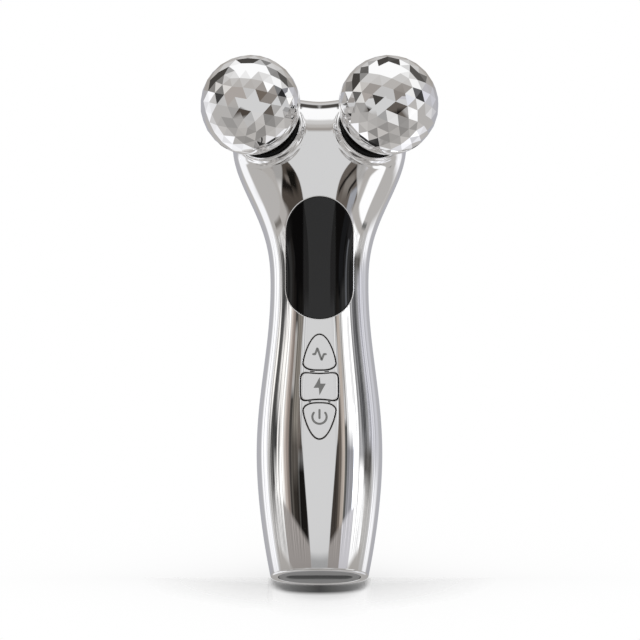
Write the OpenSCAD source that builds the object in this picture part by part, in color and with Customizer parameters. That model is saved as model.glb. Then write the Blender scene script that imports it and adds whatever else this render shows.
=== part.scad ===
/* [Handle] */
// Width of the flat foot
base_width = 30.2; // [27:0.2:34]
// Depth of the flat foot, front to back
base_depth = 26; // [23:0.5:29]
// Width of the grip where it is widest
grip_width = 39; // [36:0.5:44]
// Depth of the grip, front to back
grip_depth = 31; // [29:0.5:35]
// Height at which the grip is widest
grip_height = 39; // [32:1:44]
// Width of the waist above the buttons
waist_width = 30.5; // [29:0.5:34]
// Depth of the waist, front to back
waist_depth = 26; // [25:0.5:29]
// Height at which the handle is narrowest
waist_height = 92; // [88:1:96]
// Thickness of both shells
wall = 2.4; // [1.8:0.1:2.8]

/* [Head] */
// Width of the head where the arms leave it
head_width = 54.2; // [50:0.2:58]
// Depth of the head, front to back
head_depth = 32; // [29:0.5:34]
// Height at which the head has its full width
head_height = 137; // [134:1:139]
// Height at which the top begins to round off
shoulder_height = 137.6; // [137:0.1:140]
// Rise of the rounded top above the shoulder, in the middle
crest_rise = 13.1; // [11:0.1:14.5]
// How much lower the top is in the middle than over the arms
saddle_dip = 2.4; // [0:0.2:4]

/* [Arms] */
// Diameter of each arm
arm_diameter = 20.6; // [19:0.2:22]
// Angle by which each arm points outwards
arm_splay = 25; // [16:1:30]
// Angle by which each arm points upwards
arm_rise = 20; // [12:1:26]
// Softness of the fillet between arm and head
arm_blend = 2.4; // [1.6:0.2:3.6]
// Outward shift of the arm for each unit that it runs back into the head
arm_lean = 0.62; // [0.5:0.02:0.7]
// Upward shift of the arm for each unit that it runs back into the head
arm_lift = 0.65; // [0.5:0.05:0.75]
// Diameter of the collar on the end of an arm
collar_diameter = 22.2; // [21.4:0.1:24]
// Length of the collar
collar_length = 1.9; // [1.4:0.1:2.2]

/* [Rollers] */
// Diameter of a roller ball
roller_diameter = 31; // [29:0.5:33]
// Distance between the two ball centres
roller_spacing = 42.8; // [40:0.2:48]
// Distance of the ball centres in front of the middle of the handle
roller_reach = 28; // [27:0.5:30]
// Height of the ball centres
roller_height = 143.6; // [142:0.1:147]
// Distance from a ball centre to the end of its arm
arm_distance = 16.6; // [16.6:0.1:18]
// Thickness of the ball's wall
roller_wall = 2.6; // [2:0.1:3.2]
// Diameter of the axle
axle_diameter = 4; // [3:0.2:5]
// Outer diameter of a bush
bush_diameter = 7; // [6.4:0.2:8]
// Length of a bush without its flange
bush_length = 5; // [3:0.5:6]
// Facets along one edge of the icosahedron that the ball is cut from
facet_count = 5; // [4:1:7]

/* [Window] */
// Width of the display window
window_width = 20.5; // [16:0.5:21]
// Height of the display window
window_height = 38.4; // [32:0.2:40]
// Height of the window's middle
window_middle = 98.3; // [98:0.1:101]
// Overlap of the window gasket with window and shell
gasket_overlap = 0.7; // [0.5:0.1:0.8]
// Thickness of the window gasket
gasket_thickness = 0.8; // [0.5:0.1:1]

/* [Buttons] */
// Width of the two triangular buttons
triangle_width = 9.8; // [8:0.2:11]
// Height of the triangular buttons from their widest line to the tip
triangle_tip = 8.9; // [8:0.1:10]
// Height of the triangular buttons from their widest line to the blunt side
triangle_blunt = 2.2; // [1.6:0.1:2.6]
// Width of the middle button
middle_width = 11.4; // [9:0.2:13]
// Height of the middle button before its long sides are dipped
middle_height = 9.8; // [8:0.1:10]
// Height of the middle button's centre
middle_level = 57.3; // [56:0.1:59]
// Chrome web left between two button openings
button_web = 0.95; // [0.9:0.05:1.2]
// Gap around each button
button_gap = 0.28; // [0.2:0.02:0.3]
// Travel of a button
button_travel = 0.35; // [0.2:0.05:0.4]
// How far a button stands proud of the shell
button_proud = 0.15; // [0:0.05:0.3]

/* [Foot] */
// Width of the recess for the charging plug
recess_width = 20.5; // [16:0.5:21]
// Depth of the recess, front to back
recess_thickness = 6.4; // [5.4:0.2:8]
// How far the recess goes up into the foot
recess_height = 6.5; // [5:0.5:7]
// Height of the end cap
cap_height = 8.5; // [8:0.5:10]
// Width of the charging socket
socket_width = 8.94; // [8.34:0.1:9.2]
// Thickness of the charging socket
socket_thickness = 3.26; // [2.8:0.02:3.6]

/* [Inside] */
// Diameter of the cell
cell_diameter = 14; // [12:0.5:14.5]
// Length of the cell
cell_length = 48; // [40:1:49]
// Gap between the waist's inner wall and the front of the main board
board_setback = 4.2; // [4.1:0.1:4.6]
// Thickness of the boards
board_thickness = 1; // [0.8:0.1:1.2]
// Width of the main board
board_width = 18; // [16:0.5:18.5]
// Thickness of the inner frame's plate
frame_thickness = 1.5; // [1.2:0.1:1.6]
// Side of a switch housing
switch_side = 4.5; // [4:0.1:5]
// Height of a switch housing
switch_height = 1.8; // [1.4:0.1:2]
// Diameter of a switch plunger
plunger_diameter = 2.6; // [2:0.1:3]

/* [Fits] */
// Clearance between a running shaft and its hole
running_gap = 0.05; // [0.02:0.01:0.08]
// Clearance between pieces that are fitted together
seat_gap = 0.1; // [0.06:0.02:0.16]

/* [Hidden] */
$fn = 48;

LEFT = -1;
RIGHT = 1;
// Power of the superellipse that each cross-section follows
section_power = 2.2;
// Power of the curve from the foot out to the grip
swell_power = 1.8;
// Power that delays the flare from the waist out to the head
flare_power = 1.28;
// Overlap that makes a cut pass cleanly through a face
pass = 0.5;

// ---------- Shapes that repeat ----------

function limited(value, low, high) = min(high, max(low, value));
function eased(share) = (1 - cos(180 * limited(share, 0, 1))) / 2;
function between(first, last, share) = first + (last - first) * share;
function signed_power(value, power) = sign(value) * pow(abs(value), power);
function middle_of(ring) = [for (p = ring) 1 / len(ring)] * ring;

// Closed solid through rings of equal length that turn anticlockwise about the way they advance
module stacked(rings, top) {
    count = len(rings[0]);
    last = len(rings) - 1;
    points = [for (ring = rings) each ring];
    tip = is_undef(top) ? middle_of(rings[last]) : top;
    sides = [for (r = [0:last - 1], k = [0:count - 1])
             let (a = r * count + k, b = r * count + (k + 1) % count)
             each [[b, a, a + count], [b, a + count, b + count]]];
    ends = [for (k = [0:count - 1])
            let (n = (k + 1) % count)
            each [[len(points), k, n], [len(points) + 1, last * count + n, last * count + k]]];
    polyhedron(concat(points, [middle_of(rings[0]), tip]), concat(sides, ends), convexity = 6);
}

// Flat shape with round ends, for the recess and the socket
module slot(width, thickness) {
    square([width - thickness, thickness], center = true);
    for (side = [LEFT, RIGHT])
        translate([side * (width - thickness) / 2, 0])
            circle(d = thickness);
}

// Cylinder along Y from one plane to another
module peg(x, z, from, to, radius) {
    translate([x, to, z])
        rotate([90, 0, 0])
            cylinder(h = to - from, r = radius);
}

// Box between two planes across Y, given by its middle in the front view
module slab(x, z, width, height, from, to) {
    translate([x - width / 2, from, z - height / 2])
        cube([width, to - from, height]);
}

// Round wire through the points of a route
wire_sides = 6;
module wire(route, radius) {
    last = len(route) - 1;
    rings = [for (i = [0:last])
             let (way = route[min(i + 1, last)] - route[max(i - 1, 0)], ahead = way / norm(way),
                  sideways = cross(ahead, [0, 0.6, 0.8]), u = sideways / norm(sideways), v = cross(ahead, u))
             [for (k = [0:wire_sides - 1])
              route[i] + radius * (u * cos(360 * k / wire_sides) + v * sin(360 * k / wire_sides))]];
    stacked(rings);
}

// ---------- Skin of the handle and head ----------

// One profile serves the width and the depth: foot, grip, waist, head, each joined by an easy curve
function profile(z, foot, grip, waist, head) =
    z < grip_height ? grip - (grip - foot) * pow(max(0, grip_height - z) / grip_height, swell_power)
    : z < waist_height ? between(grip, waist, eased((z - grip_height) / (waist_height - grip_height)))
    : between(waist, head, eased(pow((z - waist_height) / (head_height - waist_height), flare_power)));
function half_width(z) = profile(z, base_width, grip_width, waist_width, head_width) / 2;
function half_depth(z) = profile(z, base_depth, grip_depth, waist_depth, head_depth) / 2;

// The top is lower in the middle than over the arms
saddle_reach = roller_spacing / 3;
function top_rise(x) = crest_rise + saddle_dip * eased(abs(x) / saddle_reach);

// Point of the skin: turn goes round from the front, roll goes over the top, inset goes inwards
function skin_point(turn, level, roll, inset) =
    let (x = (half_width(level) - inset) * cos(roll) * signed_power(sin(turn), 2 / section_power),
         y = -(half_depth(level) - inset) * cos(roll) * signed_power(cos(turn), 2 / section_power))
    [x, y, level + (top_rise(x) - inset) * sin(roll)];

// Y of the front skin above a point of the front view
function front_y(x, z, inset) =
    -(half_depth(z) - inset)
    * pow(max(0, 1 - pow(abs(x) / (half_width(z) - inset), section_power)), 1 / section_power);

// Facets of the outer skin, and of the cavity, which nothing shows
skin_grid = [20, 5, 32];
cavity_grid = [14, 4, 24];

function skin_ring(level, roll, inset, columns) =
    [for (i = [0:columns - 1]) skin_point(360 * i / columns, level, roll, inset)];

// The skin as a closed solid of rings with a pole on top; a cavity starts below the foot
module skin(inset, foot, grid) {
    columns = grid[2];
    rings = concat([skin_ring(foot, 0, inset, columns)],
                   [for (i = [1:grid[0]]) skin_ring(shoulder_height * i / grid[0], 0, inset, columns)],
                   [for (i = [1:grid[1] - 1]) skin_ring(shoulder_height, 90 * i / grid[1], inset, columns)]);
    stacked(rings, top = skin_point(0, shoulder_height, 90, inset));
}

// Everything in front of the parting plane
module front_space() {
    translate([-head_width, -2 * head_width, -pass])
        cube([2 * head_width, 2 * head_width, 2 * roller_height]);
}

// ---------- Arms ----------

// Frame of an arm: its own Z runs from the ball's centre back to the head
module at_arm(side) {
    translate([side * roller_spacing / 2, -roller_reach, roller_height])
        rotate([90 + arm_rise, 0, 180 + side * arm_splay])
            children();
}

ball_centre = [roller_spacing / 2, -roller_reach, roller_height];
arm_back = [-sin(arm_splay) * cos(arm_rise), cos(arm_splay) * cos(arm_rise), -sin(arm_rise)];
arm_across = [cos(arm_splay), sin(arm_splay), 0];
arm_over = cross(arm_back, arm_across);

arm_radius = arm_diameter / 2;
// The arm ends this far inside the head, in a rounded root
arm_length = 6;
arm_root = arm_distance + arm_length;
arm_shift = arm_lean * arm_across - arm_lift * arm_over;
// The block that carries the axle fills a bore with this wall round it at the collar, less further back
bore_wall = 4.3;
block_radius = arm_radius - bore_wall;
block_length = 8;

function handle_gap(p) =
    let (lift = max(0, p.z - shoulder_height),
         ring = pow(abs(p.x) / half_width(p.z), section_power)
                + pow(abs(p.y) / half_depth(p.z), section_power),
         size = sqrt(pow(ring, 2 / section_power) + pow(lift / top_rise(p.x), 2)))
    norm([p.x, p.y, lift]) * (1 - 1 / max(size, 0.01));
function arm_gap(p) =
    let (q = p - ball_centre, along = min(q * arm_back, arm_root), behind = max(0, along - arm_distance))
    norm(q - arm_back * along - arm_shift * behind) - arm_radius;
function soft_min(a, b, softness) =
    min(a, b) - pow(max(softness - abs(a - b), 0), 2) / (4 * softness);
function body_gap(p) = soft_min(handle_gap(p), arm_gap(p), arm_blend);

// Distance from the arm's axis to the blended skin, found by halving
function skin_radius(centre, ray, low, high, steps) =
    let (middle = (low + high) / 2)
    steps == 0 ? middle
    : body_gap(centre + ray * middle) < 0 ? skin_radius(centre, ray, middle, high, steps - 1)
    : skin_radius(centre, ray, low, middle, steps - 1);

arm_columns = 24;
arm_rows = 6;
arm_depth = 12;
halvings = 12;
// The arm and its fillet are followed out to where they all but meet the head
fillet_reach = arm_radius + 0.75 * arm_blend + norm(arm_shift) * arm_length / 2;

// Right arm with its fillet, a stack of rings across the arm's axis
module arm_body() {
    rings = [for (i = [0:arm_rows])
             let (centre = ball_centre + arm_back * (arm_distance + arm_depth * i / arm_rows))
             [for (k = [0:arm_columns - 1])
              let (turn = 360 * k / arm_columns, ray = arm_across * cos(turn) + arm_over * sin(turn))
              centre + ray * skin_radius(centre, ray, 0, fillet_reach, halvings)]];
    stacked(rings);
}

// ---------- Outlines of the front ----------

// Each outline is a list of [x, z] about its own middle, grown by a margin
outline_points = 32;
arc_steps = 12;
side_steps = 6;
function stadium(width, height, margin) =
    let (r = width / 2 + margin, straight = (height - width) / 2)
    [for (side = [1, -1]) each concat(
        [for (i = [0:arc_steps])
         let (turn = 180 * i / arc_steps)
         side * [r * cos(turn), straight + r * sin(turn)]],
        [for (i = [1:side_steps - 1]) side * [-r, straight - 2 * straight * i / side_steps]])];
// Half a superellipse towards the tip, half another towards the blunt side
function triangle(margin) =
    [for (i = [0:outline_points - 1])
     let (turn = 360 * i / outline_points, c = cos(turn), s = sin(turn))
     s >= 0 ? [(triangle_width / 2 + margin) * c, (triangle_tip + margin) * pow(s, 1.6)]
     : [(triangle_width / 2 + margin) * signed_power(c, 2 / 3), (triangle_blunt + margin) * s]];
// Half a turn, still listed from its rightmost point
function upside_down(outline) =
    let (count = len(outline))
    [for (i = [0:count - 1]) -outline[(i + count / 2) % count]];
// Rounded rectangle whose long sides dip a little in the middle
middle_dip = 0.2;
function rounded_rectangle(margin) =
    [for (i = [0:outline_points - 1])
     let (turn = 360 * i / outline_points, c = cos(turn), s = sin(turn),
          x = signed_power(c, 2 / 5), dip = 1 - middle_dip * (1 - x * x))
     [(middle_width / 2 + margin) * x, (middle_height / 2 * dip + margin) * signed_power(s, 2 / 5)]];

// Rings that lie on the front skin, or on a plane across Y
function on_skin(outline, level, share, inset) =
    [for (p = outline)
     let (x = p[0] * share, z = level + p[1] * share)
     [x, front_y(x, z, inset), z]];
function on_plane(outline, level, y) = [for (p = outline) [p[0], y, level + p[1]]];
function round_ring(points, radius, level, shift, y) =
    [for (i = [0:points - 1])
     let (turn = 360 * i / points)
     [radius * cos(turn), y, level + shift + radius * sin(turn)]];

// A hole with the given outline through the front shell
module front_hole(outline, level) {
    translate([0, 0, level])
        rotate([90, 0, 0])
            linear_extrude(grip_depth)
                polygon(outline);
}

// ---------- Planes and places inside ----------

board_front = board_setback + wall - waist_depth / 2;
board_back = board_front + board_thickness;
standoff_height = 0.6;
standoff_radius = 1.8;
frame_front = board_back + standoff_height;
frame_back = frame_front + frame_thickness;
board_drop = 5;
board_low = grip_height - board_drop;
board_high = window_middle + window_height / 2;

// Plungers stand this far out of their switches
plunger_stand = 0.6;
switch_top = board_front - switch_height;
plunger_top = switch_top - plunger_stand;

// The blunt sides of the triangular buttons face the middle button
triangle_offset = middle_height / 2 * (1 - middle_dip) + button_web + 2 * button_gap + triangle_blunt;
mode_level = middle_level + triangle_offset;
power_level = middle_level - triangle_offset;
// Switches sit nearer the middle of the triangles than their widest lines
switch_shift = triangle_tip / 4;

// Flange that keeps a button behind the shell
flange_width = 0.65;
flange_thickness = 0.7;
// Facets of the cavity stand this far inside its true curve
facet_sag = 0.16;
function flange_front(outline, level) =
    max([for (p = outline) front_y(p[0], level + p[1], wall)]) + facet_sag + seat_gap;

mode_flange = flange_front(triangle(flange_width), mode_level);
intensity_flange = flange_front(rounded_rectangle(flange_width), middle_level);
power_flange = flange_front(upside_down(triangle(flange_width)), power_level);
// The button frame stops the flanges at the end of their travel
frame_sheet = 0.6;
sheet_front = max(mode_flange, intensity_flange, power_flange) + flange_thickness + button_travel + seat_gap;
sheet_back = sheet_front + frame_sheet;

stem_radius = 1.6;
stem_clearance = 0.3;

cell_low = 17.5;
cell_middle = frame_back + 3 * seat_gap + cell_diameter / 2;

// Screw places in the front view: frame screws outside the board, board screws in its corners
frame_screw_spread = 7.2;
frame_screw_levels = [board_low - 10, board_high + 4.9];
frame_screw_places = [for (side = [LEFT, RIGHT], z = frame_screw_levels) [side * frame_screw_spread, z]];
board_screw_inset = [2, 3];
board_screw_places = [for (side = [LEFT, RIGHT], z = [board_low + board_screw_inset[1],
                                                      board_high - board_screw_inset[1]])
                      [side * (board_width / 2 - board_screw_inset[0]), z]];
screw_radius = 0.75;
screw_head_radius = 1.5;
screw_head_height = 0.9;
screw_bite = 4;
boss_radius = 2.4;

// ---------- Shells ----------

module arm_end(side) {
    at_arm(side) {
        translate([0, 0, arm_distance - arm_depth])
            cylinder(h = arm_depth, r = collar_diameter / 2);
        translate([0, 0, arm_distance - pass])
            cylinder(h = block_length + pass, r = block_radius + seat_gap);
    }
}

module front_shell() {
    color("silver")
    difference() {
        union() {
            difference() {
                intersection() {
                    union() {
                        skin(0, 0, skin_grid);
                        arm_body();
                        mirror([1, 0, 0]) arm_body();
                    }
                    front_space();
                }
                skin(wall, -pass, cavity_grid);
            }
            for (place = frame_screw_places)
                peg(place[0], place[1], front_y(place[0], place[1], wall / 2), frame_front, boss_radius);
        }
        for (side = [LEFT, RIGHT])
            arm_end(side);
        for (place = frame_screw_places)
            peg(place[0], place[1], frame_front - screw_bite, frame_front + pass, screw_radius);
        front_hole(stadium(window_width, window_height, seat_gap), window_middle);
        front_hole(triangle(button_gap), mode_level);
        front_hole(rounded_rectangle(button_gap), middle_level);
        front_hole(upside_down(triangle(button_gap)), power_level);
    }
}

rest_width = 6;
rest_thickness = 1.6;
rest_places = [0.3, 0.85];
cell_end_room = 1;

module rear_shell() {
    color("silver")
    difference() {
        union() {
            difference() {
                skin(0, 0, skin_grid);
                skin(wall, -pass, cavity_grid);
                front_space();
            }
            for (share = rest_places)
                slab(0, cell_low + cell_length * share, rest_width, rest_thickness, cell_middle,
                     half_depth(cell_low + cell_length * share) - wall / 2);
        }
        translate([0, cell_middle, cell_low - cell_end_room])
            cylinder(h = cell_length + 2 * cell_end_room, r = cell_diameter / 2 + seat_gap);
    }
}

// ---------- Foot ----------

post_radius = 1.5;
post_spread = 8.2;
board_gap = 5;
charging_board_low = cap_height + board_gap;
socket_low = recess_height - 0.5;

module end_cap() {
    color("dimgray") {
        difference() {
            union() {
                stacked([for (level = [0, cap_height / 2, cap_height])
                         skin_ring(level, 0, wall + seat_gap, cavity_grid[2])]);
                for (side = [LEFT, RIGHT])
                    translate([side * post_spread, 0, cap_height - pass])
                        cylinder(h = board_gap + pass, r = post_radius);
            }
            translate([0, 0, -pass])
                linear_extrude(recess_height + pass)
                    slot(recess_width, recess_thickness);
            linear_extrude(cap_height + pass)
                slot(socket_width + 2 * seat_gap, socket_thickness + 2 * seat_gap);
        }
    }
}

socket_skin = 0.3;
tongue_width = 6.6;
tongue_thickness = 0.7;
socket_back = 1;

module charging_socket() {
    color("gainsboro") {
        difference() {
            translate([0, 0, socket_low])
                linear_extrude(charging_board_low - socket_low)
                    slot(socket_width, socket_thickness);
            translate([0, 0, socket_low - pass])
                linear_extrude(charging_board_low - socket_low + pass - socket_back)
                    slot(socket_width - 2 * socket_skin, socket_thickness - 2 * socket_skin);
        }
        translate([-tongue_width / 2, -tongue_thickness / 2, socket_low + socket_back])
            cube([tongue_width, tongue_thickness, charging_board_low - socket_low - 2 * socket_back]);
    }
}

charging_board_size = [20, 12];

module charging_board() {
    color("darkgreen")
        translate([0, 0, charging_board_low])
            linear_extrude(board_thickness)
                square(charging_board_size, center = true);
}

// ---------- Window and display ----------

window_edge = 0.25;

module display_window() {
    outline = stadium(window_width, window_height, 0);
    color("black")
        stacked([on_skin(outline, window_middle, 0.2, wall),
                 on_skin(outline, window_middle, 0.6, wall),
                 on_skin(outline, window_middle, 1, wall),
                 on_skin(outline, window_middle, 1, window_edge),
                 on_skin(stadium(window_width, window_height, -window_edge), window_middle, 1, 0),
                 on_skin(outline, window_middle, 0.8, 0),
                 on_skin(outline, window_middle, 0.5, 0),
                 on_skin(outline, window_middle, 0.2, 0)]);
}

module window_gasket() {
    outer = stadium(window_width, window_height, gasket_overlap);
    inner = stadium(window_width, window_height, -gasket_overlap);
    near = wall + facet_sag;
    far = near + gasket_thickness;
    color("darkslategray")
        ring_band([on_skin(inner, window_middle, 1, far), on_skin(outer, window_middle, 1, far),
                   on_skin(outer, window_middle, 1, near), on_skin(inner, window_middle, 1, near)]);
}

// Closed band: the last ring joins the first again
module ring_band(rings) {
    count = len(rings[0]);
    turns = len(rings);
    sides = [for (r = [0:turns - 1], k = [0:count - 1])
             let (next = (r + 1) % turns, a = r * count + k, b = r * count + (k + 1) % count,
                  c = next * count + k, d = next * count + (k + 1) % count)
             each [[b, a, c], [b, c, d]]];
    polyhedron([for (ring = rings) each ring], sides, convexity = 6);
}

// The display stands clear of the gasket at its corners, and of the screws above and below
display_inset = [2.75, 5.2];
display_thickness = 2;

module display_module() {
    color("darkolivegreen")
        slab(0, window_middle, window_width - 2 * display_inset[0], window_height - 2 * display_inset[1],
             board_front - display_thickness, board_front);
}

// ---------- Buttons ----------

// A cap with its flange and stem, through rings from the plunger to the front
module button(outline, wide, level, shift, flange) {
    count = len(outline);
    color("silver")
        stacked([round_ring(count, stem_radius, level, shift, plunger_top),
                 round_ring(count, stem_radius, level, shift, flange + flange_thickness),
                 on_plane(wide, level, flange + flange_thickness),
                 on_plane(wide, level, flange),
                 on_plane(outline, level, flange),
                 on_skin(outline, level, 1, window_edge - button_proud),
                 on_skin(outline, level, 0.93, -button_proud),
                 on_skin(outline, level, 0.5, -button_proud)],
                top = [0, front_y(0, level, -button_proud), level]);
}

module mode_button() {
    button(triangle(0), triangle(flange_width), mode_level, switch_shift, mode_flange);
}

module intensity_button() {
    button(rounded_rectangle(0), rounded_rectangle(flange_width), middle_level, 0, intensity_flange);
}

module power_button() {
    button(upside_down(triangle(0)), upside_down(triangle(flange_width)), power_level, -switch_shift,
           power_flange);
}

plunger_length = plunger_stand + 0.9;
plunger_hole = 1.4;

module plunger(level) {
    color("black")
        peg(0, level, plunger_top, plunger_top + plunger_length, plunger_diameter / 2);
}

module push_switch(level) {
    color("lightgray")
    difference() {
        slab(0, level, switch_side, switch_side, switch_top, board_front);
        peg(0, level, switch_top - pass, switch_top + plunger_hole, plunger_diameter / 2 + running_gap);
    }
}

// Half the room between the side walls at a level, on a plane across Y
function room(z, y) =
    (half_width(z) - wall)
    * pow(max(0, 1 - pow(abs(y) / (half_depth(z) - wall), section_power)), 1 / section_power);

sheet_margin = 1.5;
sheet_low = power_level - triangle_tip - sheet_margin;
sheet_high = mode_level + triangle_tip + sheet_margin;
sheet_steps = 6;
sheet_post_spread = 5.4;
sheet_post_levels = [power_level - triangle_tip / 2, mode_level];
sheet_post_radius = 1;

module button_frame() {
    levels = [for (i = [0:sheet_steps]) between(sheet_low, sheet_high, i / sheet_steps)];
    half = [for (z = levels) room(z, sheet_front) - facet_sag - seat_gap];
    color("black")
    difference() {
        union() {
            translate([0, sheet_back, 0])
                rotate([90, 0, 0])
                    linear_extrude(frame_sheet)
                        polygon(concat([for (i = [0:sheet_steps]) [half[i], levels[i]]],
                                       [for (i = [sheet_steps:-1:0]) [-half[i], levels[i]]]));
            for (side = [LEFT, RIGHT], z = sheet_post_levels)
                peg(side * sheet_post_spread, z, sheet_front, board_front, sheet_post_radius);
        }
        for (z = [mode_level + switch_shift, middle_level, power_level - switch_shift])
            peg(0, z, sheet_front - pass, sheet_back + pass, stem_radius + stem_clearance);
    }
}

// ---------- Boards, frame, cell ----------

module main_board() {
    color("darkgreen")
    difference() {
        slab(0, (board_low + board_high) / 2, board_width, board_high - board_low, board_front, board_back);
        for (place = board_screw_places)
            peg(place[0], place[1], board_front - pass, board_back + pass, screw_radius + seat_gap);
    }
}

frame_side_room = 2.85;
frame_width = waist_width - 2 * (wall + frame_side_room);
frame_margin = 2.6;
cradle_width = 17;
cradle_thickness = 1.6;
cradle_places = [0.3, 0.55, 0.85];

module inner_frame() {
    low = frame_screw_levels[0] - frame_margin;
    high = frame_screw_levels[1] + frame_margin;
    color("whitesmoke")
    difference() {
        union() {
            slab(0, (low + high) / 2, frame_width, high - low, frame_front, frame_back);
            for (place = board_screw_places)
                peg(place[0], place[1], board_back, frame_back, standoff_radius);
            for (share = cradle_places)
                slab(0, cell_low + cell_length * share, cradle_width, cradle_thickness,
                     frame_front, cell_middle);
        }
        translate([0, cell_middle, 0])
            cylinder(h = board_high, r = cell_diameter / 2 + seat_gap);
        for (place = frame_screw_places)
            peg(place[0], place[1], frame_front - pass, frame_back + pass, screw_radius + seat_gap);
        for (place = board_screw_places)
            peg(place[0], place[1], board_back - pass, frame_back + pass, screw_radius);
    }
}

cell_tab_height = 1;
cell_tab_radius = cell_diameter / 6;

module cell() {
    color("steelblue")
        translate([0, cell_middle, cell_low]) {
            cylinder(h = cell_length - cell_tab_height, r = cell_diameter / 2);
            cylinder(h = cell_length, r = cell_tab_radius);
        }
}

module frame_screws() {
    color("gray")
    for (place = frame_screw_places) {
        peg(place[0], place[1], frame_front - screw_bite, frame_back, screw_radius);
        peg(place[0], place[1], frame_back, frame_back + screw_head_height, screw_head_radius);
    }
}

module board_screws() {
    color("gray")
    for (place = board_screw_places) {
        peg(place[0], place[1], board_front, frame_back, screw_radius);
        peg(place[0], place[1], board_front - screw_head_height, board_front, screw_head_radius);
    }
}

// ---------- Rollers ----------

ball_radius = roller_diameter / 2;
cavity_radius = ball_radius - roller_wall;
// The ball is faceted up to this plane, and its hub closes it behind
seam = 3.2;
hub_end = 13;
sleeve_wall = 1.7;
sleeve_front = -6;
hub_floor = hub_end - roller_wall;
spigot_length = 2;
spigot_wall = 1.2;
axle_room = 0.6;
bush_flange = 0.7;
bush_flange_width = 1;
// Play of the ball along its axle, shared between the shoulder and the clip
end_play = 0.15;
shoulder_width = 1.2;
shoulder_radius = axle_diameter / 2 + shoulder_width;
shoulder_start = hub_end + bush_flange + end_play;
clip_thickness = 0.6;
clip_start = sleeve_front - bush_flange - end_play - clip_thickness;
axle_tip_length = 0.9;
axle_tip = clip_start - axle_tip_length;
collar_wall = 1.15;
collar_round = 0.6;
seal_lip = 0.4;
seal_radius = collar_diameter / 2 - collar_wall - seat_gap;
seal_start = arm_distance - collar_length - seal_lip;
shank_radius = axle_diameter / 2 + 0.5;
thread_end = 0.6;
nut_height = 2.2;
nut_wall = 1.6;

function ico_vertex(i) =
    i == 0 ? [0, 0, 1] : i == 11 ? [0, 0, -1]
    : i < 6 ? [2 * cos(72 * i), 2 * sin(72 * i), 1] / sqrt(5)
    : [2 * cos(72 * i + 36), 2 * sin(72 * i + 36), -1] / sqrt(5);
ico_faces = [for (i = [0:4])
             let (n = (i + 1) % 5)
             each [[0, 1 + n, 1 + i], [1 + i, 1 + n, 6 + i], [6 + i, 1 + n, 6 + n], [11, 6 + i, 6 + n]]];

// Ball whose facets come from an icosahedron with divided faces
module faceted_ball(radius, count) {
    corners = [for (face = ico_faces)
               let (a = ico_vertex(face[0]), b = ico_vertex(face[1]), c = ico_vertex(face[2]))
               [for (i = [0:count]) [for (j = [0:count - i])
                let (p = a * (count - i - j) + b * i + c * j) radius * p / norm(p)]]];
    upright = [for (g = corners, i = [0:count - 1], j = [0:count - i - 1])
               [g[i][j], g[i + 1][j], g[i][j + 1]]];
    inverted = [for (g = corners, i = [0:count - 2], j = [0:count - i - 2])
                [g[i + 1][j], g[i + 1][j + 1], g[i][j + 1]]];
    triangles = concat(upright, inverted);
    polyhedron([for (t = triangles) each t],
               [for (k = [0:len(triangles) - 1]) [3 * k, 3 * k + 1, 3 * k + 2]]);
}

module roller(side) {
    color("silver")
    at_arm(side)
        difference() {
            faceted_ball(ball_radius, facet_count);
            translate([0, 0, seam]) cylinder(h = roller_diameter, r = roller_diameter);
            sphere(r = cavity_radius, $fn = 96);
        }
}

// Arc in the half-plane of a revolve, by its radius and the heights where it starts and ends
arc_points = 10;
function arc_between(radius, low, high) =
    [for (i = [0:arc_points])
     let (turn = between(asin(low / radius), asin(high / radius), i / arc_points))
     radius * [cos(turn), sin(turn)]];

module roller_hub(side) {
    spigot = sqrt(cavity_radius * cavity_radius - seam * seam) - seat_gap;
    lip = spigot - spigot_wall;
    lip_level = sqrt(cavity_radius * cavity_radius - lip * lip);
    sleeve_radius = bush_diameter / 2 + sleeve_wall;
    color("gainsboro")
    at_arm(side)
        difference() {
            rotate_extrude($fn = 96)
                polygon(concat(
                    [[0, sleeve_front], [sleeve_radius, sleeve_front], [sleeve_radius, hub_floor]],
                    arc_between(cavity_radius, hub_floor, lip_level),
                    [[lip, seam - spigot_length], [spigot, seam - spigot_length], [spigot, seam]],
                    arc_between(ball_radius, seam, hub_end),
                    [[0, hub_end]]));
            translate([0, 0, sleeve_front - pass]) cylinder(h = bush_length + pass, r = bush_diameter / 2);
            translate([0, 0, hub_end - bush_length]) cylinder(h = bush_length + pass, r = bush_diameter / 2);
            translate([0, 0, sleeve_front])
                cylinder(h = hub_end - sleeve_front, r = axle_diameter / 2 + axle_room);
        }
}

// A flanged bush, with its flange at zero and its sleeve going up
module bush() {
    color("darkgoldenrod")
    difference() {
        union() {
            translate([0, 0, -bush_flange])
                cylinder(h = bush_flange, r = bush_diameter / 2 + bush_flange_width);
            cylinder(h = bush_length, r = bush_diameter / 2);
        }
        translate([0, 0, -bush_flange - pass])
            cylinder(h = bush_length + bush_flange + 2 * pass, r = axle_diameter / 2 + running_gap);
    }
}

module front_bush(side) {
    at_arm(side) translate([0, 0, sleeve_front]) bush();
}

module rear_bush(side) {
    at_arm(side) translate([0, 0, hub_end]) mirror([0, 0, 1]) bush();
}

groove_depth = 0.5;

module axle(side) {
    color("lightsteelblue")
    at_arm(side)
        difference() {
            union() {
                translate([0, 0, axle_tip])
                    cylinder(h = shoulder_start - axle_tip, r = axle_diameter / 2);
                translate([0, 0, shoulder_start])
                    cylinder(h = arm_distance - shoulder_start, r = shoulder_radius);
                translate([0, 0, arm_distance])
                    cylinder(h = block_length + nut_height + thread_end, r = shank_radius);
            }
            translate([0, 0, clip_start])
                difference() {
                    cylinder(h = clip_thickness, r = axle_diameter);
                    translate([0, 0, -pass])
                        cylinder(h = clip_thickness + 2 * pass, r = axle_diameter / 2 - groove_depth);
                }
        }
}

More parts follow.
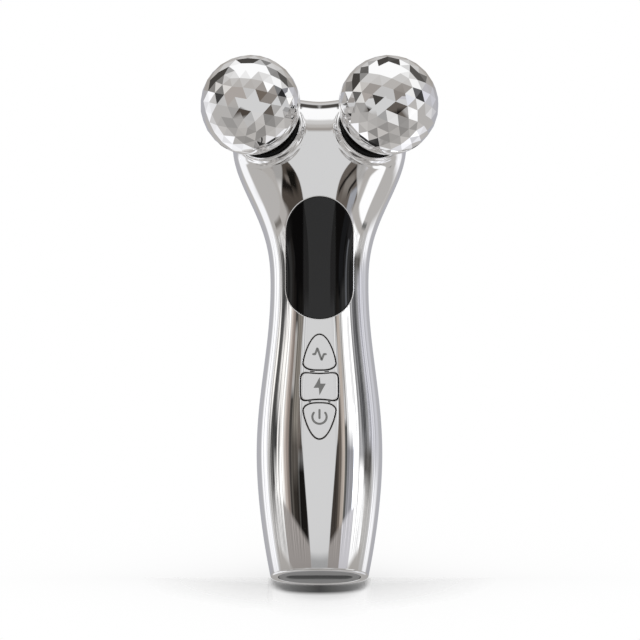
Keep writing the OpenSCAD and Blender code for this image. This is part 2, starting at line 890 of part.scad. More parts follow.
clip_opening = 3.2;
clip_width = 1.2;

module axle_clip(side) {
    color("dimgray")
    at_arm(side)
        translate([0, 0, clip_start])
            linear_extrude(clip_thickness)
                difference() {
                    circle(r = axle_diameter / 2 + clip_width);
                    circle(r = axle_diameter / 2 - groove_depth);
                    translate([0, -clip_opening / 2]) square([axle_diameter, clip_opening]);
                }
}

module collar(side) {
    outer = collar_diameter / 2;
    start = arm_distance - collar_length;
    color("silver")
    at_arm(side)
        rotate_extrude($fn = 96)
            polygon(concat(
                [[outer - collar_wall, start], [outer - collar_round, start]],
                [for (turn = [-60:30:0])
                 [outer, start] + collar_round * [cos(turn) - 1, sin(turn) + 1]],
                [[outer, arm_distance], [outer - collar_wall, arm_distance]]));
}

module seal(side) {
    color("black")
    at_arm(side)
        translate([0, 0, seal_start])
            difference() {
                cylinder(h = arm_distance - seal_start, r = seal_radius);
                translate([0, 0, -pass])
                    cylinder(h = arm_distance - seal_start + 2 * pass, r = shoulder_radius + seat_gap);
            }
}

module axle_block(side) {
    color("darkgray")
    at_arm(side)
        translate([0, 0, arm_distance])
            difference() {
                cylinder(h = block_length, r = block_radius);
                translate([0, 0, -pass])
                    cylinder(h = block_length + 2 * pass, r = shank_radius);
            }
}

module axle_nuts() {
    color("gray")
    for (side = [LEFT, RIGHT])
        at_arm(side)
            translate([0, 0, arm_distance + block_length])
                difference() {
                    cylinder(h = nut_height, r = shank_radius + nut_wall, $fn = 6);
                    translate([0, 0, -pass]) cylinder(h = nut_height + 2 * pass, r = shank_radius);
                }
}

// ---------- Leads ----------

lead_radius = 0.5;
// Leads lie on the front of the main board
lead_plane = board_front - lead_radius;

// From the end of each axle down to the top of the board
module axle_leads() {
    start = ball_centre + arm_back * (arm_distance + block_length + nut_height + 2 * thread_end);
    route = [start, start + [-2, 0, -2], [5, lead_plane + 0.7, board_high + 10.5],
             [3.6, lead_plane - 0.5, board_high + 6], [3.2, lead_plane - 0.7, board_high + 2],
             [3, lead_plane, board_high - 1.5], [3, lead_plane, board_high - 4.5]];
    color("firebrick")
    for (side = [LEFT, RIGHT])
        wire([for (p = route) [side * p[0], p[1], p[2]]], lead_radius);
}

// From the cell's tab round the edge of the frame to the front of the board
lead_climb = 8;
lead_room = 1.6;

module cell_leads() {
    start = cell_low + cell_length;
    edge = frame_width / 2 + lead_room;
    color("firebrick")
        wire([[cell_tab_radius / 2, cell_middle, start + lead_radius],
              [edge / 2, cell_middle - 2 * lead_radius, start + lead_climb / 4],
              [edge * 0.9, 0, start + lead_climb / 2],
              [edge, (frame_front + frame_back) / 2, start + lead_climb * 0.6],
              [edge * 0.9, lead_plane - lead_radius, start + lead_climb * 0.75],
              [board_width * 0.48, lead_plane, start + lead_climb * 0.9],
              [board_width * 0.39, lead_plane, start + lead_climb]], lead_radius);
}

// ---------- The pieces ----------

front_shell();
rear_shell();
end_cap();
display_window();
window_gasket();
display_module();
mode_button();
intensity_button();
power_button();
plunger(mode_level + switch_shift);  // mode_plunger
plunger(middle_level);  // intensity_plunger
plunger(power_level - switch_shift);  // power_plunger
push_switch(mode_level + switch_shift);  // mode_switch
push_switch(middle_level);  // intensity_switch
push_switch(power_level - switch_shift);  // power_switch
button_frame();
main_board();
inner_frame();
cell();
charging_board();
charging_socket();
roller(LEFT);  // left_roller
roller(RIGHT);  // right_roller
roller_hub(LEFT);  // left_roller_hub
roller_hub(RIGHT);  // right_roller_hub
front_bush(LEFT);  // left_front_bush
rear_bush(LEFT);  // left_rear_bush
front_bush(RIGHT);  // right_front_bush
rear_bush(RIGHT);  // right_rear_bush
axle(LEFT);  // left_axle
axle(RIGHT);  // right_axle
axle_clip(LEFT);  // left_axle_clip
axle_clip(RIGHT);  // right_axle_clip
collar(LEFT);  // left_collar
collar(RIGHT);  // right_collar
seal(LEFT);  // left_seal
seal(RIGHT);  // right_seal
axle_block(LEFT);  // left_axle_block
axle_block(RIGHT);  // right_axle_block
axle_nuts();
frame_screws();
board_screws();
axle_leads();
cell_leads();
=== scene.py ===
"""Facial toning device: the plated skin, rollers, display, buttons and foot, and the studio round them."""

import math

import bpy
import numpy as np
from bpy.props import FloatProperty, FloatVectorProperty, IntProperty, PointerProperty
from bpy.types import Operator, Panel, PropertyGroup
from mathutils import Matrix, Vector


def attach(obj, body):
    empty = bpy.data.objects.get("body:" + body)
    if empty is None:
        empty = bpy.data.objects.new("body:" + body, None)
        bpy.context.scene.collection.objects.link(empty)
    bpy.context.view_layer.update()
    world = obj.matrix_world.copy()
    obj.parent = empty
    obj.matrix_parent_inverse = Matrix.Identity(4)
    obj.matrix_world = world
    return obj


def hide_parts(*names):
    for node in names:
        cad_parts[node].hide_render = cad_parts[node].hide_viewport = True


bl_info = {
    "name": "Facial toning device",
    "version": (1, 0, 0),
    "blender": (4, 5, 0),
    "location": "View3D > Sidebar > Toning",
    "description": "Builds the visible surfaces of a facial toning device round its packed solids",
    "category": "Add Mesh",
}

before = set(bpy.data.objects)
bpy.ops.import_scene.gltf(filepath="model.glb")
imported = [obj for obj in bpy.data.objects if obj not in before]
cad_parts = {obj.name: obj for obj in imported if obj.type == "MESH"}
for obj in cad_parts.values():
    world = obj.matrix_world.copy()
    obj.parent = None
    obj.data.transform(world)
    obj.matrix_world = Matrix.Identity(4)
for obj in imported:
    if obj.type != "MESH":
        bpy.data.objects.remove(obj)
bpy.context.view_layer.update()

MM = 0.001
DEGREES = 180 / math.pi
LEFT, RIGHT = -1, 1
SIDES = {LEFT: "left", RIGHT: "right"}
# Half the hairline between the front shell and the rear shell
HAIRLINE = 0.04 * MM


# ---------- Sizes and colours ----------


def size(value, name, description):
    """A length in millimetres as a property in metres."""
    return FloatProperty(name=name, description=description, default=value * MM, unit="LENGTH", precision=5)


def angle(value, name, description):
    """An angle in degrees as a property in radians."""
    return FloatProperty(name=name, description=description, default=math.radians(value), subtype="ANGLE")


def plain_number(value, name, description):
    """A number without a unit as a property."""
    return FloatProperty(name=name, description=description, default=value, min=0)


def colour(red, green, blue, name, description):
    """A linear colour as a property."""
    return FloatVectorProperty(
        name=name, description=description, default=(red, green, blue), subtype="COLOR", min=0, max=1
    )


class ToningSizes(PropertyGroup):
    """Sizes of the handle, head, arms, rollers and front."""

    base_width: size(30.2, "Base width", "Width of the flat foot")
    base_depth: size(26, "Base depth", "Depth of the flat foot")
    grip_width: size(39, "Grip width", "Width of the grip where it is widest")
    grip_depth: size(31, "Grip depth", "Depth of the grip where it is widest")
    grip_height: size(39, "Grip height", "Height at which the grip is widest")
    waist_width: size(30.5, "Waist width", "Width of the waist above the buttons")
    waist_depth: size(26, "Waist depth", "Depth of the waist")
    waist_height: size(92, "Waist height", "Height at which the handle is narrowest")
    head_width: size(54.2, "Head width", "Width of the head where the arms leave it")
    head_depth: size(32, "Head depth", "Depth of the head")
    head_height: size(137, "Head height", "Height at which the head has its full width")
    shoulder_height: size(137.6, "Shoulder height", "Height at which the top begins to round off")
    crest_rise: size(13.1, "Crest rise", "Rise of the rounded top above the shoulder")
    saddle_dip: size(2.4, "Saddle dip", "How much lower the top is in the middle")
    wall: size(2.4, "Wall", "Thickness of both shells")
    fan_height: size(128, "Fan height", "Height of the point that the head's rays leave from")
    fan_reach: size(24, "Fan reach", "Distance that one radian of the fan counts for")
    arm_diameter: size(20.6, "Arm diameter", "Diameter of each arm")
    arm_splay: angle(25, "Arm splay", "Angle by which each arm points outwards")
    arm_rise: angle(20, "Arm rise", "Angle by which each arm points upwards")
    arm_blend: size(2.4, "Arm blend", "Softness of the fillet between arm and head")
    arm_distance: size(16.6, "Arm distance", "Distance from a ball's centre to the end of its arm")
    arm_length: size(6, "Arm length", "Length of the arm's axis inside the head")
    arm_root: size(2.7, "Arm root", "Reach of the arm's root over the skin of the head")
    arm_lean: plain_number(0.62, "Arm lean", "Outward shift of an arm for each unit run into the head")
    arm_lift: plain_number(0.65, "Arm lift", "Upward shift of an arm for each unit run into the head")
    collar_diameter: size(22.2, "Collar diameter", "Diameter of the collar on the end of an arm")
    collar_length: size(1.9, "Collar length", "Length of the collar")
    roller_diameter: size(31, "Roller diameter", "Diameter of a roller ball")
    roller_spacing: size(42.8, "Roller spacing", "Distance between the two ball centres")
    roller_reach: size(28, "Roller reach", "Distance of the ball centres in front of the handle's middle")
    roller_height: size(143.6, "Roller height", "Height of the ball centres")
    roller_seam: size(3.2, "Roller seam", "Distance from a ball's centre to the end of its facets")
    roller_end: size(13, "Roller end", "Distance from a ball's centre to the flat end of its smooth band")
    shoulder_radius: size(3.2, "Shoulder radius", "Radius of the axle's shoulder")
    window_width: size(20.5, "Window width", "Width of the display window")
    window_height: size(38.4, "Window height", "Height of the display window")
    window_middle: size(98.3, "Window middle", "Height of the window's middle")
    window_gap: size(0.1, "Window gap", "Gap round the window")
    window_edge: size(0.34, "Window edge", "Radius of the bright rounded edge round the window")
    triangle_width: size(9.8, "Triangle width", "Width of the two triangular buttons")
    triangle_tip: size(8.9, "Triangle tip", "Height from the widest line to the tip")
    triangle_blunt: size(2.2, "Triangle blunt side", "Height from the widest line to the blunt side")
    middle_width: size(11.4, "Middle width", "Width of the middle button")
    middle_height: size(9.8, "Middle height", "Height of the middle button before its long sides are dipped")
    middle_level: size(57.3, "Middle level", "Height of the middle button's centre")
    button_web: size(0.79, "Button web", "Plated web left between two button openings")
    button_gap: size(0.36, "Button gap", "Gap round each button")
    button_proud: size(0.15, "Button stand", "How far a button stands proud of the shell")
    edge_round: size(0.23, "Edge rounding", "Radius of the bright rounded edge round each button")
    button_edge: size(0.16, "Button edge", "Radius of the rounded edge of a button")
    recess_width: size(20.5, "Recess width", "Width of the recess for the charging plug")
    recess_thickness: size(6.4, "Recess thickness", "Depth of the recess, front to back")
    recess_height: size(6.5, "Recess height", "How far the recess goes up into the foot")
    cap_height: size(8.5, "Cap height", "Height of the end cap")
    cap_gap: size(0.1, "Cap gap", "Gap between the end cap and the shells")
    socket_width: size(9.14, "Socket opening width", "Width of the opening for the charging socket")
    socket_thickness: size(3.46, "Socket opening thickness", "Thickness of the opening for the socket")


class ToningFinishes(PropertyGroup):
    """Colours of the finishes."""

    plating: colour(0.93, 0.93, 0.935, "Plating", "Bright plating of the shells and rollers")
    window: colour(0.0015, 0.0015, 0.0018, "Window", "Tinted black window")
    # Painted reflection: the lighter colour of an upright strip painted into the window, standing in for the
    # grey card's reflection
    display: colour(0.017, 0.017, 0.0175, "Display", "Display strip seen through the window")
    ink: colour(0.17, 0.17, 0.165, "Ink", "Marks on the buttons")
    foot: colour(0.2, 0.2, 0.2, "Foot", "Satin grey plastic of the end cap")
    rubber: colour(0.006, 0.006, 0.006, "Rubber", "Seals and gasket")
    black: colour(0.01, 0.01, 0.01, "Black plastic", "Button frame and plungers")
    pale: colour(0.55, 0.55, 0.52, "Pale plastic", "Inner frame, switches and axle blocks")
    board: colour(0.01, 0.07, 0.025, "Board", "Solder mask of the circuit boards")
    cell: colour(0.02, 0.08, 0.22, "Cell", "Sleeve of the cell")
    brass: colour(0.5, 0.33, 0.12, "Brass", "Turned bushes")
    steel: colour(0.5, 0.51, 0.53, "Steel", "Axles, clips, nuts and screws")
    lead: colour(0.35, 0.02, 0.015, "Leads", "Insulation of the leads")


class ToningStudio(PropertyGroup):
    """Camera, floor and light."""

    camera_distance: size(3000, "Camera distance", "Distance from the camera to the aim")
    camera_pitch: angle(12, "Camera pitch", "Angle by which the camera looks up")
    frame_width: size(199.2, "Frame width", "Width of the picture at the aim")
    aim_height: size(81.45, "Aim height", "Height that the camera looks at")
    aim_side: size(0.16, "Aim side", "Sideways place that the camera looks at")
    floor: colour(0.86, 0.86, 0.855, "Floor", "Pale floor")
    floor_radius: size(3000, "Floor radius", "Reach of the floor")
    world_light: plain_number(0.85, "World light", "Strength of the even light from all sides")
    render_columns: IntProperty(
        name="Skin columns", description="Columns of the front skin's grid", default=230, min=60, max=320
    )


# ---------- Surfaces ----------


class Surface:
    """Points with their normals, and faces as one row of corner indices with each face's count of corners."""

    def __init__(self, points, loops, counts, normals, material=0):
        self.points = np.asarray(points, float).reshape(-1, 3)
        self.loops = np.asarray(loops, np.int64).ravel()
        self.counts = np.asarray(counts, np.int64).ravel()
        self.normals = unit(np.asarray(normals, float).reshape(-1, 3))
        self.material = material


def unit(vectors):
    """Each vector divided by its length."""
    return vectors / np.maximum(np.linalg.norm(vectors, axis=-1, keepdims=True), 1e-12)


def rows_of_quads(rows, columns, closed):
    """Corner indices of the quads between the rows of a grid; a closed grid's last column joins its first."""
    wide = columns if closed else columns - 1
    row, column = np.meshgrid(np.arange(rows - 1), np.arange(wide), indexing="ij")
    here = row * columns + column
    beside = row * columns + (column + 1) % columns
    return np.stack([here, beside, beside + columns, here + columns], -1).reshape(-1, 4)


def grid_normals(points, closed):
    """Cross product of the steps along the rows and up the columns, by central differences."""
    if closed:
        across = np.roll(points, -1, 1) - np.roll(points, 1, 1)
    else:
        across = np.gradient(points, axis=1)
    up = np.gradient(points, axis=0)
    return unit(np.cross(across, up))


def sheet(points, closed=False, material=0, flip=False):
    """Surface through a grid of points, rows by columns; its face looks along row step times column step."""
    rows, columns = points.shape[:2]
    quads = rows_of_quads(rows, columns, closed)
    normals = grid_normals(points, closed)
    if flip:
        quads, normals = quads[:, ::-1], -normals
    return Surface(points, quads, np.full(len(quads), 4), normals, material)


def disc(ring, pole, material=0, flip=False):
    """Fan of triangles from a ring to its pole, shaded by the average of the fan."""
    count = len(ring)
    here = np.arange(count)
    after = (here + 1) % count
    triangles = np.stack([here, after, np.full(count, count)], -1)
    facing = np.cross(ring[after] - ring, pole - ring).sum(0)
    if flip:
        triangles, facing = triangles[:, ::-1], -facing
    points = np.vstack([ring, [pole]])
    return Surface(points, triangles, np.full(count, 3), np.tile(facing, (count + 1, 1)), material)


def put_piece(name, surfaces, materials, body, replaced):
    """One mesh object from several surfaces, with their normals. It rides on a body and stands for nodes."""
    mesh = bpy.data.meshes.new(name)
    shift = np.cumsum([0] + [len(s.points) for s in surfaces])[:-1]
    loops = np.concatenate([s.loops + k for s, k in zip(surfaces, shift)])
    counts = np.concatenate([s.counts for s in surfaces])
    points = np.vstack([s.points for s in surfaces])
    mesh.vertices.add(len(points))
    mesh.vertices.foreach_set("co", points.ravel())
    mesh.loops.add(len(loops))
    mesh.loops.foreach_set("vertex_index", loops)
    mesh.polygons.add(len(counts))
    mesh.polygons.foreach_set("loop_start", np.cumsum(counts) - counts)
    mesh.polygons.foreach_set("use_smooth", np.ones(len(counts), bool))
    kinds = np.concatenate([np.full(len(s.counts), s.material) for s in surfaces])
    mesh.polygons.foreach_set("material_index", kinds)
    mesh.update(calc_edges=True)
    mesh.normals_split_custom_set_from_vertices(np.vstack([s.normals for s in surfaces]))
    for material in materials:
        mesh.materials.append(material)
    piece = bpy.data.objects.new(name, mesh)
    bpy.context.scene.collection.objects.link(piece)
    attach(piece, body)
    if replaced:
        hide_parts(*replaced)


def finish_node(node, material):
    """Gives a carried-over node its material."""
    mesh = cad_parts[node].data
    mesh.materials.clear()
    mesh.materials.append(material)


# ---------- Skin of the handle and head ----------


def eased(share):
    """Half a cosine wave from 0 to 1."""
    return (1 - np.cos(np.pi * np.clip(share, 0, 1))) / 2


# Powers of the swelling foot, of the head's flare and of the section's superellipse
SWELL_POWER, FLARE_POWER, SECTION_POWER = 1.8, 1.28, 2.2
# How many times closer to the middle than the balls' spacing the top has its full rise
SADDLE_SPAN = 3


def profile(z, s, foot, grip, waist, head):
    """Foot to grip by a power curve, grip to waist and waist to head by half a cosine wave each."""
    swell = grip - (grip - foot) * (np.maximum(0, s.grip_height - z) / s.grip_height) ** SWELL_POWER
    narrowing = grip + (waist - grip) * eased((z - s.grip_height) / (s.waist_height - s.grip_height))
    share = np.maximum(0, (z - s.waist_height) / (s.head_height - s.waist_height))
    flare = waist + (head - waist) * eased(share**FLARE_POWER)
    return np.where(z < s.grip_height, swell, np.where(z < s.waist_height, narrowing, flare))


def half_width(z, s):
    """Half the profile of the widths."""
    return profile(z, s, s.base_width, s.grip_width, s.waist_width, s.head_width) / 2


def half_depth(z, s):
    """Half the profile of the depths."""
    return profile(z, s, s.base_depth, s.grip_depth, s.waist_depth, s.head_depth) / 2


def front_y(x, z, inset, s):
    """Y of the front of the superellipse at a height, with both half axes less the inset."""
    share = (np.abs(x) / (half_width(z, s) - inset)) ** SECTION_POWER
    return -(half_depth(z, s) - inset) * np.maximum(0, 1 - share) ** (1 / SECTION_POWER)


def handle_gap(points, s):
    """About the distance to the handle and head: below zero inside, by the size of the superellipse
    through the point, whose top is an ellipse that rises more over the arms than in the middle."""
    x, y, z = points[..., 0], points[..., 1], points[..., 2]
    lift = np.maximum(0, z - s.shoulder_height)
    rise = s.crest_rise + s.saddle_dip * eased(SADDLE_SPAN * np.abs(x) / s.roller_spacing)
    ring = (np.abs(x) / half_width(z, s)) ** SECTION_POWER + (np.abs(y) / half_depth(z, s)) ** SECTION_POWER
    scale = np.sqrt(ring ** (2 / SECTION_POWER) + (lift / rise) ** 2)
    return np.sqrt(x * x + y * y + lift * lift) * (1 - 1 / np.maximum(scale, 0.01))


def arm_frame(side, s):
    """Centre of the ball, the way back along the arm, the way across it and the way over it."""
    centre = np.array([side * s.roller_spacing / 2, -s.roller_reach, s.roller_height])
    flat = math.cos(s.arm_rise)
    back = np.array(
        [-side * math.sin(s.arm_splay) * flat, math.cos(s.arm_splay) * flat, -math.sin(s.arm_rise)]
    )
    across = np.array([math.cos(s.arm_splay), side * math.sin(s.arm_splay), 0])
    return centre, back, across, np.cross(back, across)


def arm_lean(side, s):
    """Sideways and upward shift of the arm's axis for each unit that it runs into the head."""
    _, _, across, over = arm_frame(side, s)
    return side * s.arm_lean * across - s.arm_lift * over


def arm_gap(points, side, s):
    """Distance to a rod with a round root. Behind the arm's end the rod leans outwards and upwards, in
    proportion to how far it has gone."""
    centre, back, _, _ = arm_frame(side, s)
    offset = points - centre
    foot = np.minimum(offset @ back, s.arm_distance + s.arm_length)[..., None]
    axis = foot * back + np.maximum(foot - s.arm_distance, 0) * arm_lean(side, s)
    return np.linalg.norm(offset - axis, axis=-1) - s.arm_diameter / 2


def soft_min(a, b, softness):
    """The smaller of two distances, with a parabola over the crease between them."""
    return np.minimum(a, b) - np.maximum(softness - np.abs(a - b), 0) ** 2 / (4 * softness)


def body_gap(points, s):
    """About the distance to the blended skin of head and arms."""
    head = handle_gap(points, s)
    return np.minimum(*(soft_min(head, arm_gap(points, side, s), s.arm_blend) for side in SIDES))


def body_normals(points, s):
    """Gradient of the distance to the skin, by central differences."""
    step = 0.002 * MM
    slopes = [body_gap(points + step * axis, s) - body_gap(points - step * axis, s) for axis in np.eye(3)]
    return unit(np.stack(slopes, -1))


def halved(inside, low, high, times):
    """Low and high after halving the distance between them several times, with inside true at low only."""
    for _ in range(times):
        middle = (low + high) / 2
        within = inside(middle)
        low, high = np.where(within, middle, low), np.where(within, high, middle)
    return low, high


# Nearest and furthest place where a ray looks for the skin, its even steps, and the halvings after them
RAY_LOW, RAY_HIGH, RAY_STEPS, RAY_HALVINGS = 3 * MM, 40 * MM, 48, 22


def first_exit(start, ray, s):
    """Where rays that start inside first leave the skin: even steps until a point lies outside, then halving
    between that point and the one before it."""
    low, high = np.full(start.shape[:-1], RAY_LOW), np.full(start.shape[:-1], RAY_HIGH)
    found = np.zeros(low.shape, bool)
    steps = np.linspace(RAY_LOW, RAY_HIGH, RAY_STEPS)
    for near, far in zip(steps[:-1], steps[1:]):
        outside = ~found & (body_gap(start + ray * far, s) > 0)
        low, high = np.where(outside, near, low), np.where(outside, far, high)
        found |= outside
    low, high = halved(lambda reach: body_gap(start + ray * reach[..., None], s) < 0, low, high, RAY_HALVINGS)
    return start + ray * ((low + high) / 2)[..., None]


def body_points(turn, rise, s):
    """Where rays first leave the skin: level rays from the middle line up to the fan's height, then rays
    from that point that swing up to the vertical. Turn goes round from the front to the right."""
    level = np.minimum(rise, s.fan_height)
    swing = np.maximum(0, rise - s.fan_height) / s.fan_reach
    ray = np.stack([np.sin(turn) * np.cos(swing), -np.cos(turn) * np.cos(swing), np.sin(swing)], -1)
    start = np.stack([np.zeros_like(level), np.zeros_like(level), level], -1)
    return first_exit(start, ray, s)


def arm_points(side):
    """For one arm, where rays first leave the skin that start square from the arm's leaning axis: turn goes
    round the axis and rise is how far the axis has run into the head."""
    def place(turn, rise, s):
        centre, back, across, over = arm_frame(side, s)
        start = (centre + (s.arm_distance + rise)[:, None] * back
                 + np.minimum(rise, s.arm_length)[:, None] * arm_lean(side, s))
        ray = np.cos(turn)[:, None] * across + np.sin(turn)[:, None] * over
        return first_exit(start, ray, s)

    return place


def beyond_arms(points, s):
    """Above zero where the skin is further from both arms than the root that is built from the arms' axes."""
    return np.minimum(*(arm_gap(points, side, s) for side in SIDES)) - s.arm_root


# Halvings that find where a cell's edge is cut
CUT_HALVINGS = 14


def trimmed(place, keep, turns, rises, s):
    """Surface over a grid of turns and rises where keep is above zero. Each cell is cut where keep changes
    sign along its edges, and the cuts are found by halving along the edge on the true surface."""
    rows, columns = len(rises), len(turns)
    rise, turn = np.meshgrid(rises, turns, indexing="ij")
    rise, turn = rise.ravel(), turn.ravel()
    corners = place(turn, rise, s)
    kept = keep(corners, s) > 0
    index = np.arange(rows * columns).reshape(rows, columns)
    edges = np.vstack([
        np.stack([index[:, :-1].ravel(), index[:, 1:].ravel()], -1),
        np.stack([index[:-1].ravel(), index[1:].ravel()], -1),
    ])
    crossed = kept[edges[:, 0]] != kept[edges[:, 1]]
    cut = edges[crossed]
    good = np.where(kept[cut[:, 0]], cut[:, 0], cut[:, 1])
    bad = np.where(kept[cut[:, 0]], cut[:, 1], cut[:, 0])

    def along_edge(share):
        return place(
            turn[good] + (turn[bad] - turn[good]) * share, rise[good] + (rise[bad] - rise[good]) * share, s
        )

    share, _ = halved(
        lambda middle: keep(along_edge(middle), s) > 0, np.zeros(len(cut)), np.ones(len(cut)), CUT_HALVINGS
    )
    cuts = along_edge(share)
    number = np.full(len(edges), -1)
    number[crossed] = rows * columns + np.arange(len(cut))
    level_edge = number[: rows * (columns - 1)].reshape(rows, columns - 1)
    rising_edge = number[rows * (columns - 1):].reshape(rows - 1, columns)
    corner = np.where(kept.reshape(rows, columns), index, -1)
    slots = np.stack([
        corner[:-1, :-1], level_edge[:-1], corner[:-1, 1:], rising_edge[:, 1:],
        corner[1:, 1:], level_edge[1:], corner[1:, :-1], rising_edge[:, :-1],
    ], -1).reshape(-1, 8)
    counts = (slots >= 0).sum(1)
    slots, counts = slots[counts > 2], counts[counts > 2]
    loops = slots[slots >= 0]
    used, loops = np.unique(loops, return_inverse=True)
    points = np.vstack([corners, cuts])[used]
    return Surface(points, loops, counts, body_normals(points, s))


# ---------- Outlines of the front ----------

# Points of an outline, of a revolved part, of the end cap, of a shell's rim and of its parting edge
OUTLINE_POINTS, TURNED_POINTS, FOOT_POINTS, RIM_POINTS, PARTING_POINTS = 96, 144, 240, 120, 300
AROUND = np.linspace(0, 2 * np.pi, OUTLINE_POINTS, endpoint=False)


def signed_power(value, power):
    """Power that keeps the sign."""
    return np.sign(value) * np.abs(value) ** power


class Outline:
    """Closed line of the front view about its own level: its points, and whether a point lies outside."""

    def __init__(self, level, flip=1):
        self.level = level
        self.flip = flip

    def ring(self, margin, share, inset, s):
        """The outline grown by a margin and shrunk to a share, laid on the skin at an inset."""
        flat = self.flip * self.flat(margin, s) * share
        x, z = flat[:, 0], self.level + flat[:, 1]
        return np.stack([x, front_y(x, z, inset, s), z], -1)

    def beyond(self, points, margin, s):
        """Above zero outside the outline grown by the margin, and behind the middle plane."""
        x, z = self.flip * points[..., 0], self.flip * (points[..., 2] - self.level)
        return np.where(points[..., 1] > 0, 1.0, self.excess(x, z, margin, s))


class Stadium(Outline):
    """Two half circles joined by straight sides."""

    def flat(self, margin, s):
        """Even steps of length over the upper half circle, down the left side and back up the right one."""
        radius = s.window_width / 2 + margin
        straight = (s.window_height - s.window_width) / 2
        length = 4 * straight + 2 * np.pi * radius
        run = np.linspace(0, length, OUTLINE_POINTS, endpoint=False)
        half = np.pi * radius
        turn = np.clip(run / radius, 0, np.pi) + np.clip((run - half - 2 * straight) / radius, 0, np.pi)
        drop = np.clip(run - half, 0, 2 * straight) - np.clip(run - 2 * half - 2 * straight, 0, 2 * straight)
        return np.stack([radius * np.cos(turn), straight - drop + radius * np.sin(turn)], -1)

    def excess(self, x, z, margin, s):
        """Distance to the line between the two centres, less the radius."""
        straight = (s.window_height - s.window_width) / 2
        return np.hypot(x, np.maximum(np.abs(z) - straight, 0)) - s.window_width / 2 - margin


class Triangle(Outline):
    """Half a superellipse up to the tip and half another down to the blunt side."""

    tip_power, side_power = 1.25, 3

    def flat(self, margin, s):
        """Half width times a power of cosine, and tip or blunt side times a power of sine."""
        c, t = np.cos(AROUND), np.sin(AROUND)
        half = s.triangle_width / 2 + margin
        tip = (s.triangle_tip + margin) * np.abs(t) ** (2 / self.tip_power)
        x = np.where(t >= 0, half * c, half * signed_power(c, 2 / self.side_power))
        return np.stack([x, np.where(t >= 0, tip, (s.triangle_blunt + margin) * t)], -1)

    def excess(self, x, z, margin, s):
        """Sum of the powers of both shares, less one."""
        across = np.abs(x) / (s.triangle_width / 2 + margin)
        up = np.maximum(z, 0) / (s.triangle_tip + margin)
        down = np.maximum(-z, 0) / (s.triangle_blunt + margin)
        return np.where(z > 0, across**2 + up**self.tip_power, across**self.side_power + down**2) - 1


class Pillow(Outline):
    """Superellipse whose long sides dip in the middle."""

    dip, power = 0.2, 5

    def flat(self, margin, s):
        """Powers of cosine and sine, and a height that is least in the middle."""
        x = signed_power(np.cos(AROUND), 2 / self.power)
        tall = s.middle_height / 2 * (1 - self.dip * (1 - x * x)) + margin
        z = tall * signed_power(np.sin(AROUND), 2 / self.power)
        return np.stack([(s.middle_width / 2 + margin) * x, z], -1)

    def excess(self, x, z, margin, s):
        """Sum of the powers of both shares, less one."""
        across = np.abs(x) / (s.middle_width / 2 + margin)
        tall = s.middle_height / 2 * (1 - self.dip * (1 - np.minimum(across, 1) ** 2)) + margin
        return across**self.power + (np.abs(z) / tall) ** self.power - 1


def button_levels(s):
    """Heights of the upper, middle and lower button."""
    half = s.middle_height / 2 * (1 - Pillow.dip)
    offset = half + s.button_web + 2 * s.button_gap + s.triangle_blunt
    return s.middle_level + offset, s.middle_level, s.middle_level - offset


def openings(s):
    """Outline of each opening in the front, the gap in it and the radius of its edge."""
    upper, middle, lower = button_levels(s)
    return {
        "window": (Stadium(s.window_middle), s.window_gap, s.window_edge),
        "mode": (Triangle(upper), s.button_gap, s.edge_round),
        "intensity": (Pillow(middle), s.button_gap, s.edge_round),
        "power": (Triangle(lower, flip=-1), s.button_gap, s.edge_round),
    }


# Turns of the steps of every rounded edge
ROUNDING = np.linspace(0, np.pi / 2, 7)
# How far the dark wall of an opening runs in from the skin
OPENING_DEPTH = 1.4 * MM
# Share of a cap's outline at which its front ends in a fan of triangles
FAN_SHARE = 0.04


def lip(outline, gap, radius, depth, s):
    """Edge of an opening: a plated quarter round from the skin into the opening, then a dark wall straight
    in."""
    rounded = [
        outline.ring(gap + radius * (1 - math.sin(t)), 1, radius * (1 - math.cos(t)), s) for t in ROUNDING
    ]
    straight = [outline.ring(gap, 1, inset, s) for inset in np.linspace(radius, depth, 4)]
    return [
        sheet(np.array(rounded), closed=True, flip=True),
        sheet(np.array(straight), closed=True, flip=True, material=1),
    ]


def cap(outline, proud, radius, depth, s):
    """Cap that fills an opening: a dark side, a quarter round and a front that follows the skin, to its
    middle."""
    side = [outline.ring(0, 1, inset, s) for inset in np.linspace(depth, radius - proud, 4)]
    rounded = [
        outline.ring(-radius * (1 - math.cos(t)), 1, radius * (1 - math.sin(t)) - proud, s) for t in ROUNDING
    ]
    front = [outline.ring(-radius, share, -proud, s) for share in np.linspace(1, FAN_SHARE, 20)[1:]]
    rings = np.array(rounded + front)
    middle = np.array([0, front_y(0.0, outline.level, -proud, s), outline.level])
    return [
        sheet(rings, closed=True),
        disc(rings[-1], middle),
        sheet(np.array(side), closed=True, material=1),
        disc(side[0], side[0].mean(0), flip=True, material=1),
    ]


# ---------- Shader expressions ----------


WHITE = (1, 1, 1, 1)


class Value:
    """A socket that takes part in Python arithmetic; each operator adds a Math node."""

    def __init__(self, tree, socket):
        self.tree = tree
        self.socket = socket

    def math(self, operation, *others):
        """One Math node, with this value as its first input."""
        node = self.tree.nodes.new("ShaderNodeMath")
        node.operation = operation
        for socket, value in zip(node.inputs, (self, *others)):
            feed(self.tree, socket, value)
        return Value(self.tree, node.outputs[0])

    def __add__(self, other):
        return self.math("ADD", other)

    def __sub__(self, other):
        return self.math("SUBTRACT", other)

    def __mul__(self, other):
        return self.math("MULTIPLY", other)

    def __truediv__(self, other):
        return self.math("DIVIDE", other)

    def __rsub__(self, other):
        return (self * -1) + other

    def clamped(self):
        """The value held between 0 and 1."""
        return self.math("MAXIMUM", 0).math("MINIMUM", 1)

    def soft_step(self, edge, width):
        """0 below the edge and 1 above it, with a straight ramp of the given width about it."""
        return ((self - (edge - width / 2)) / width).clamped()


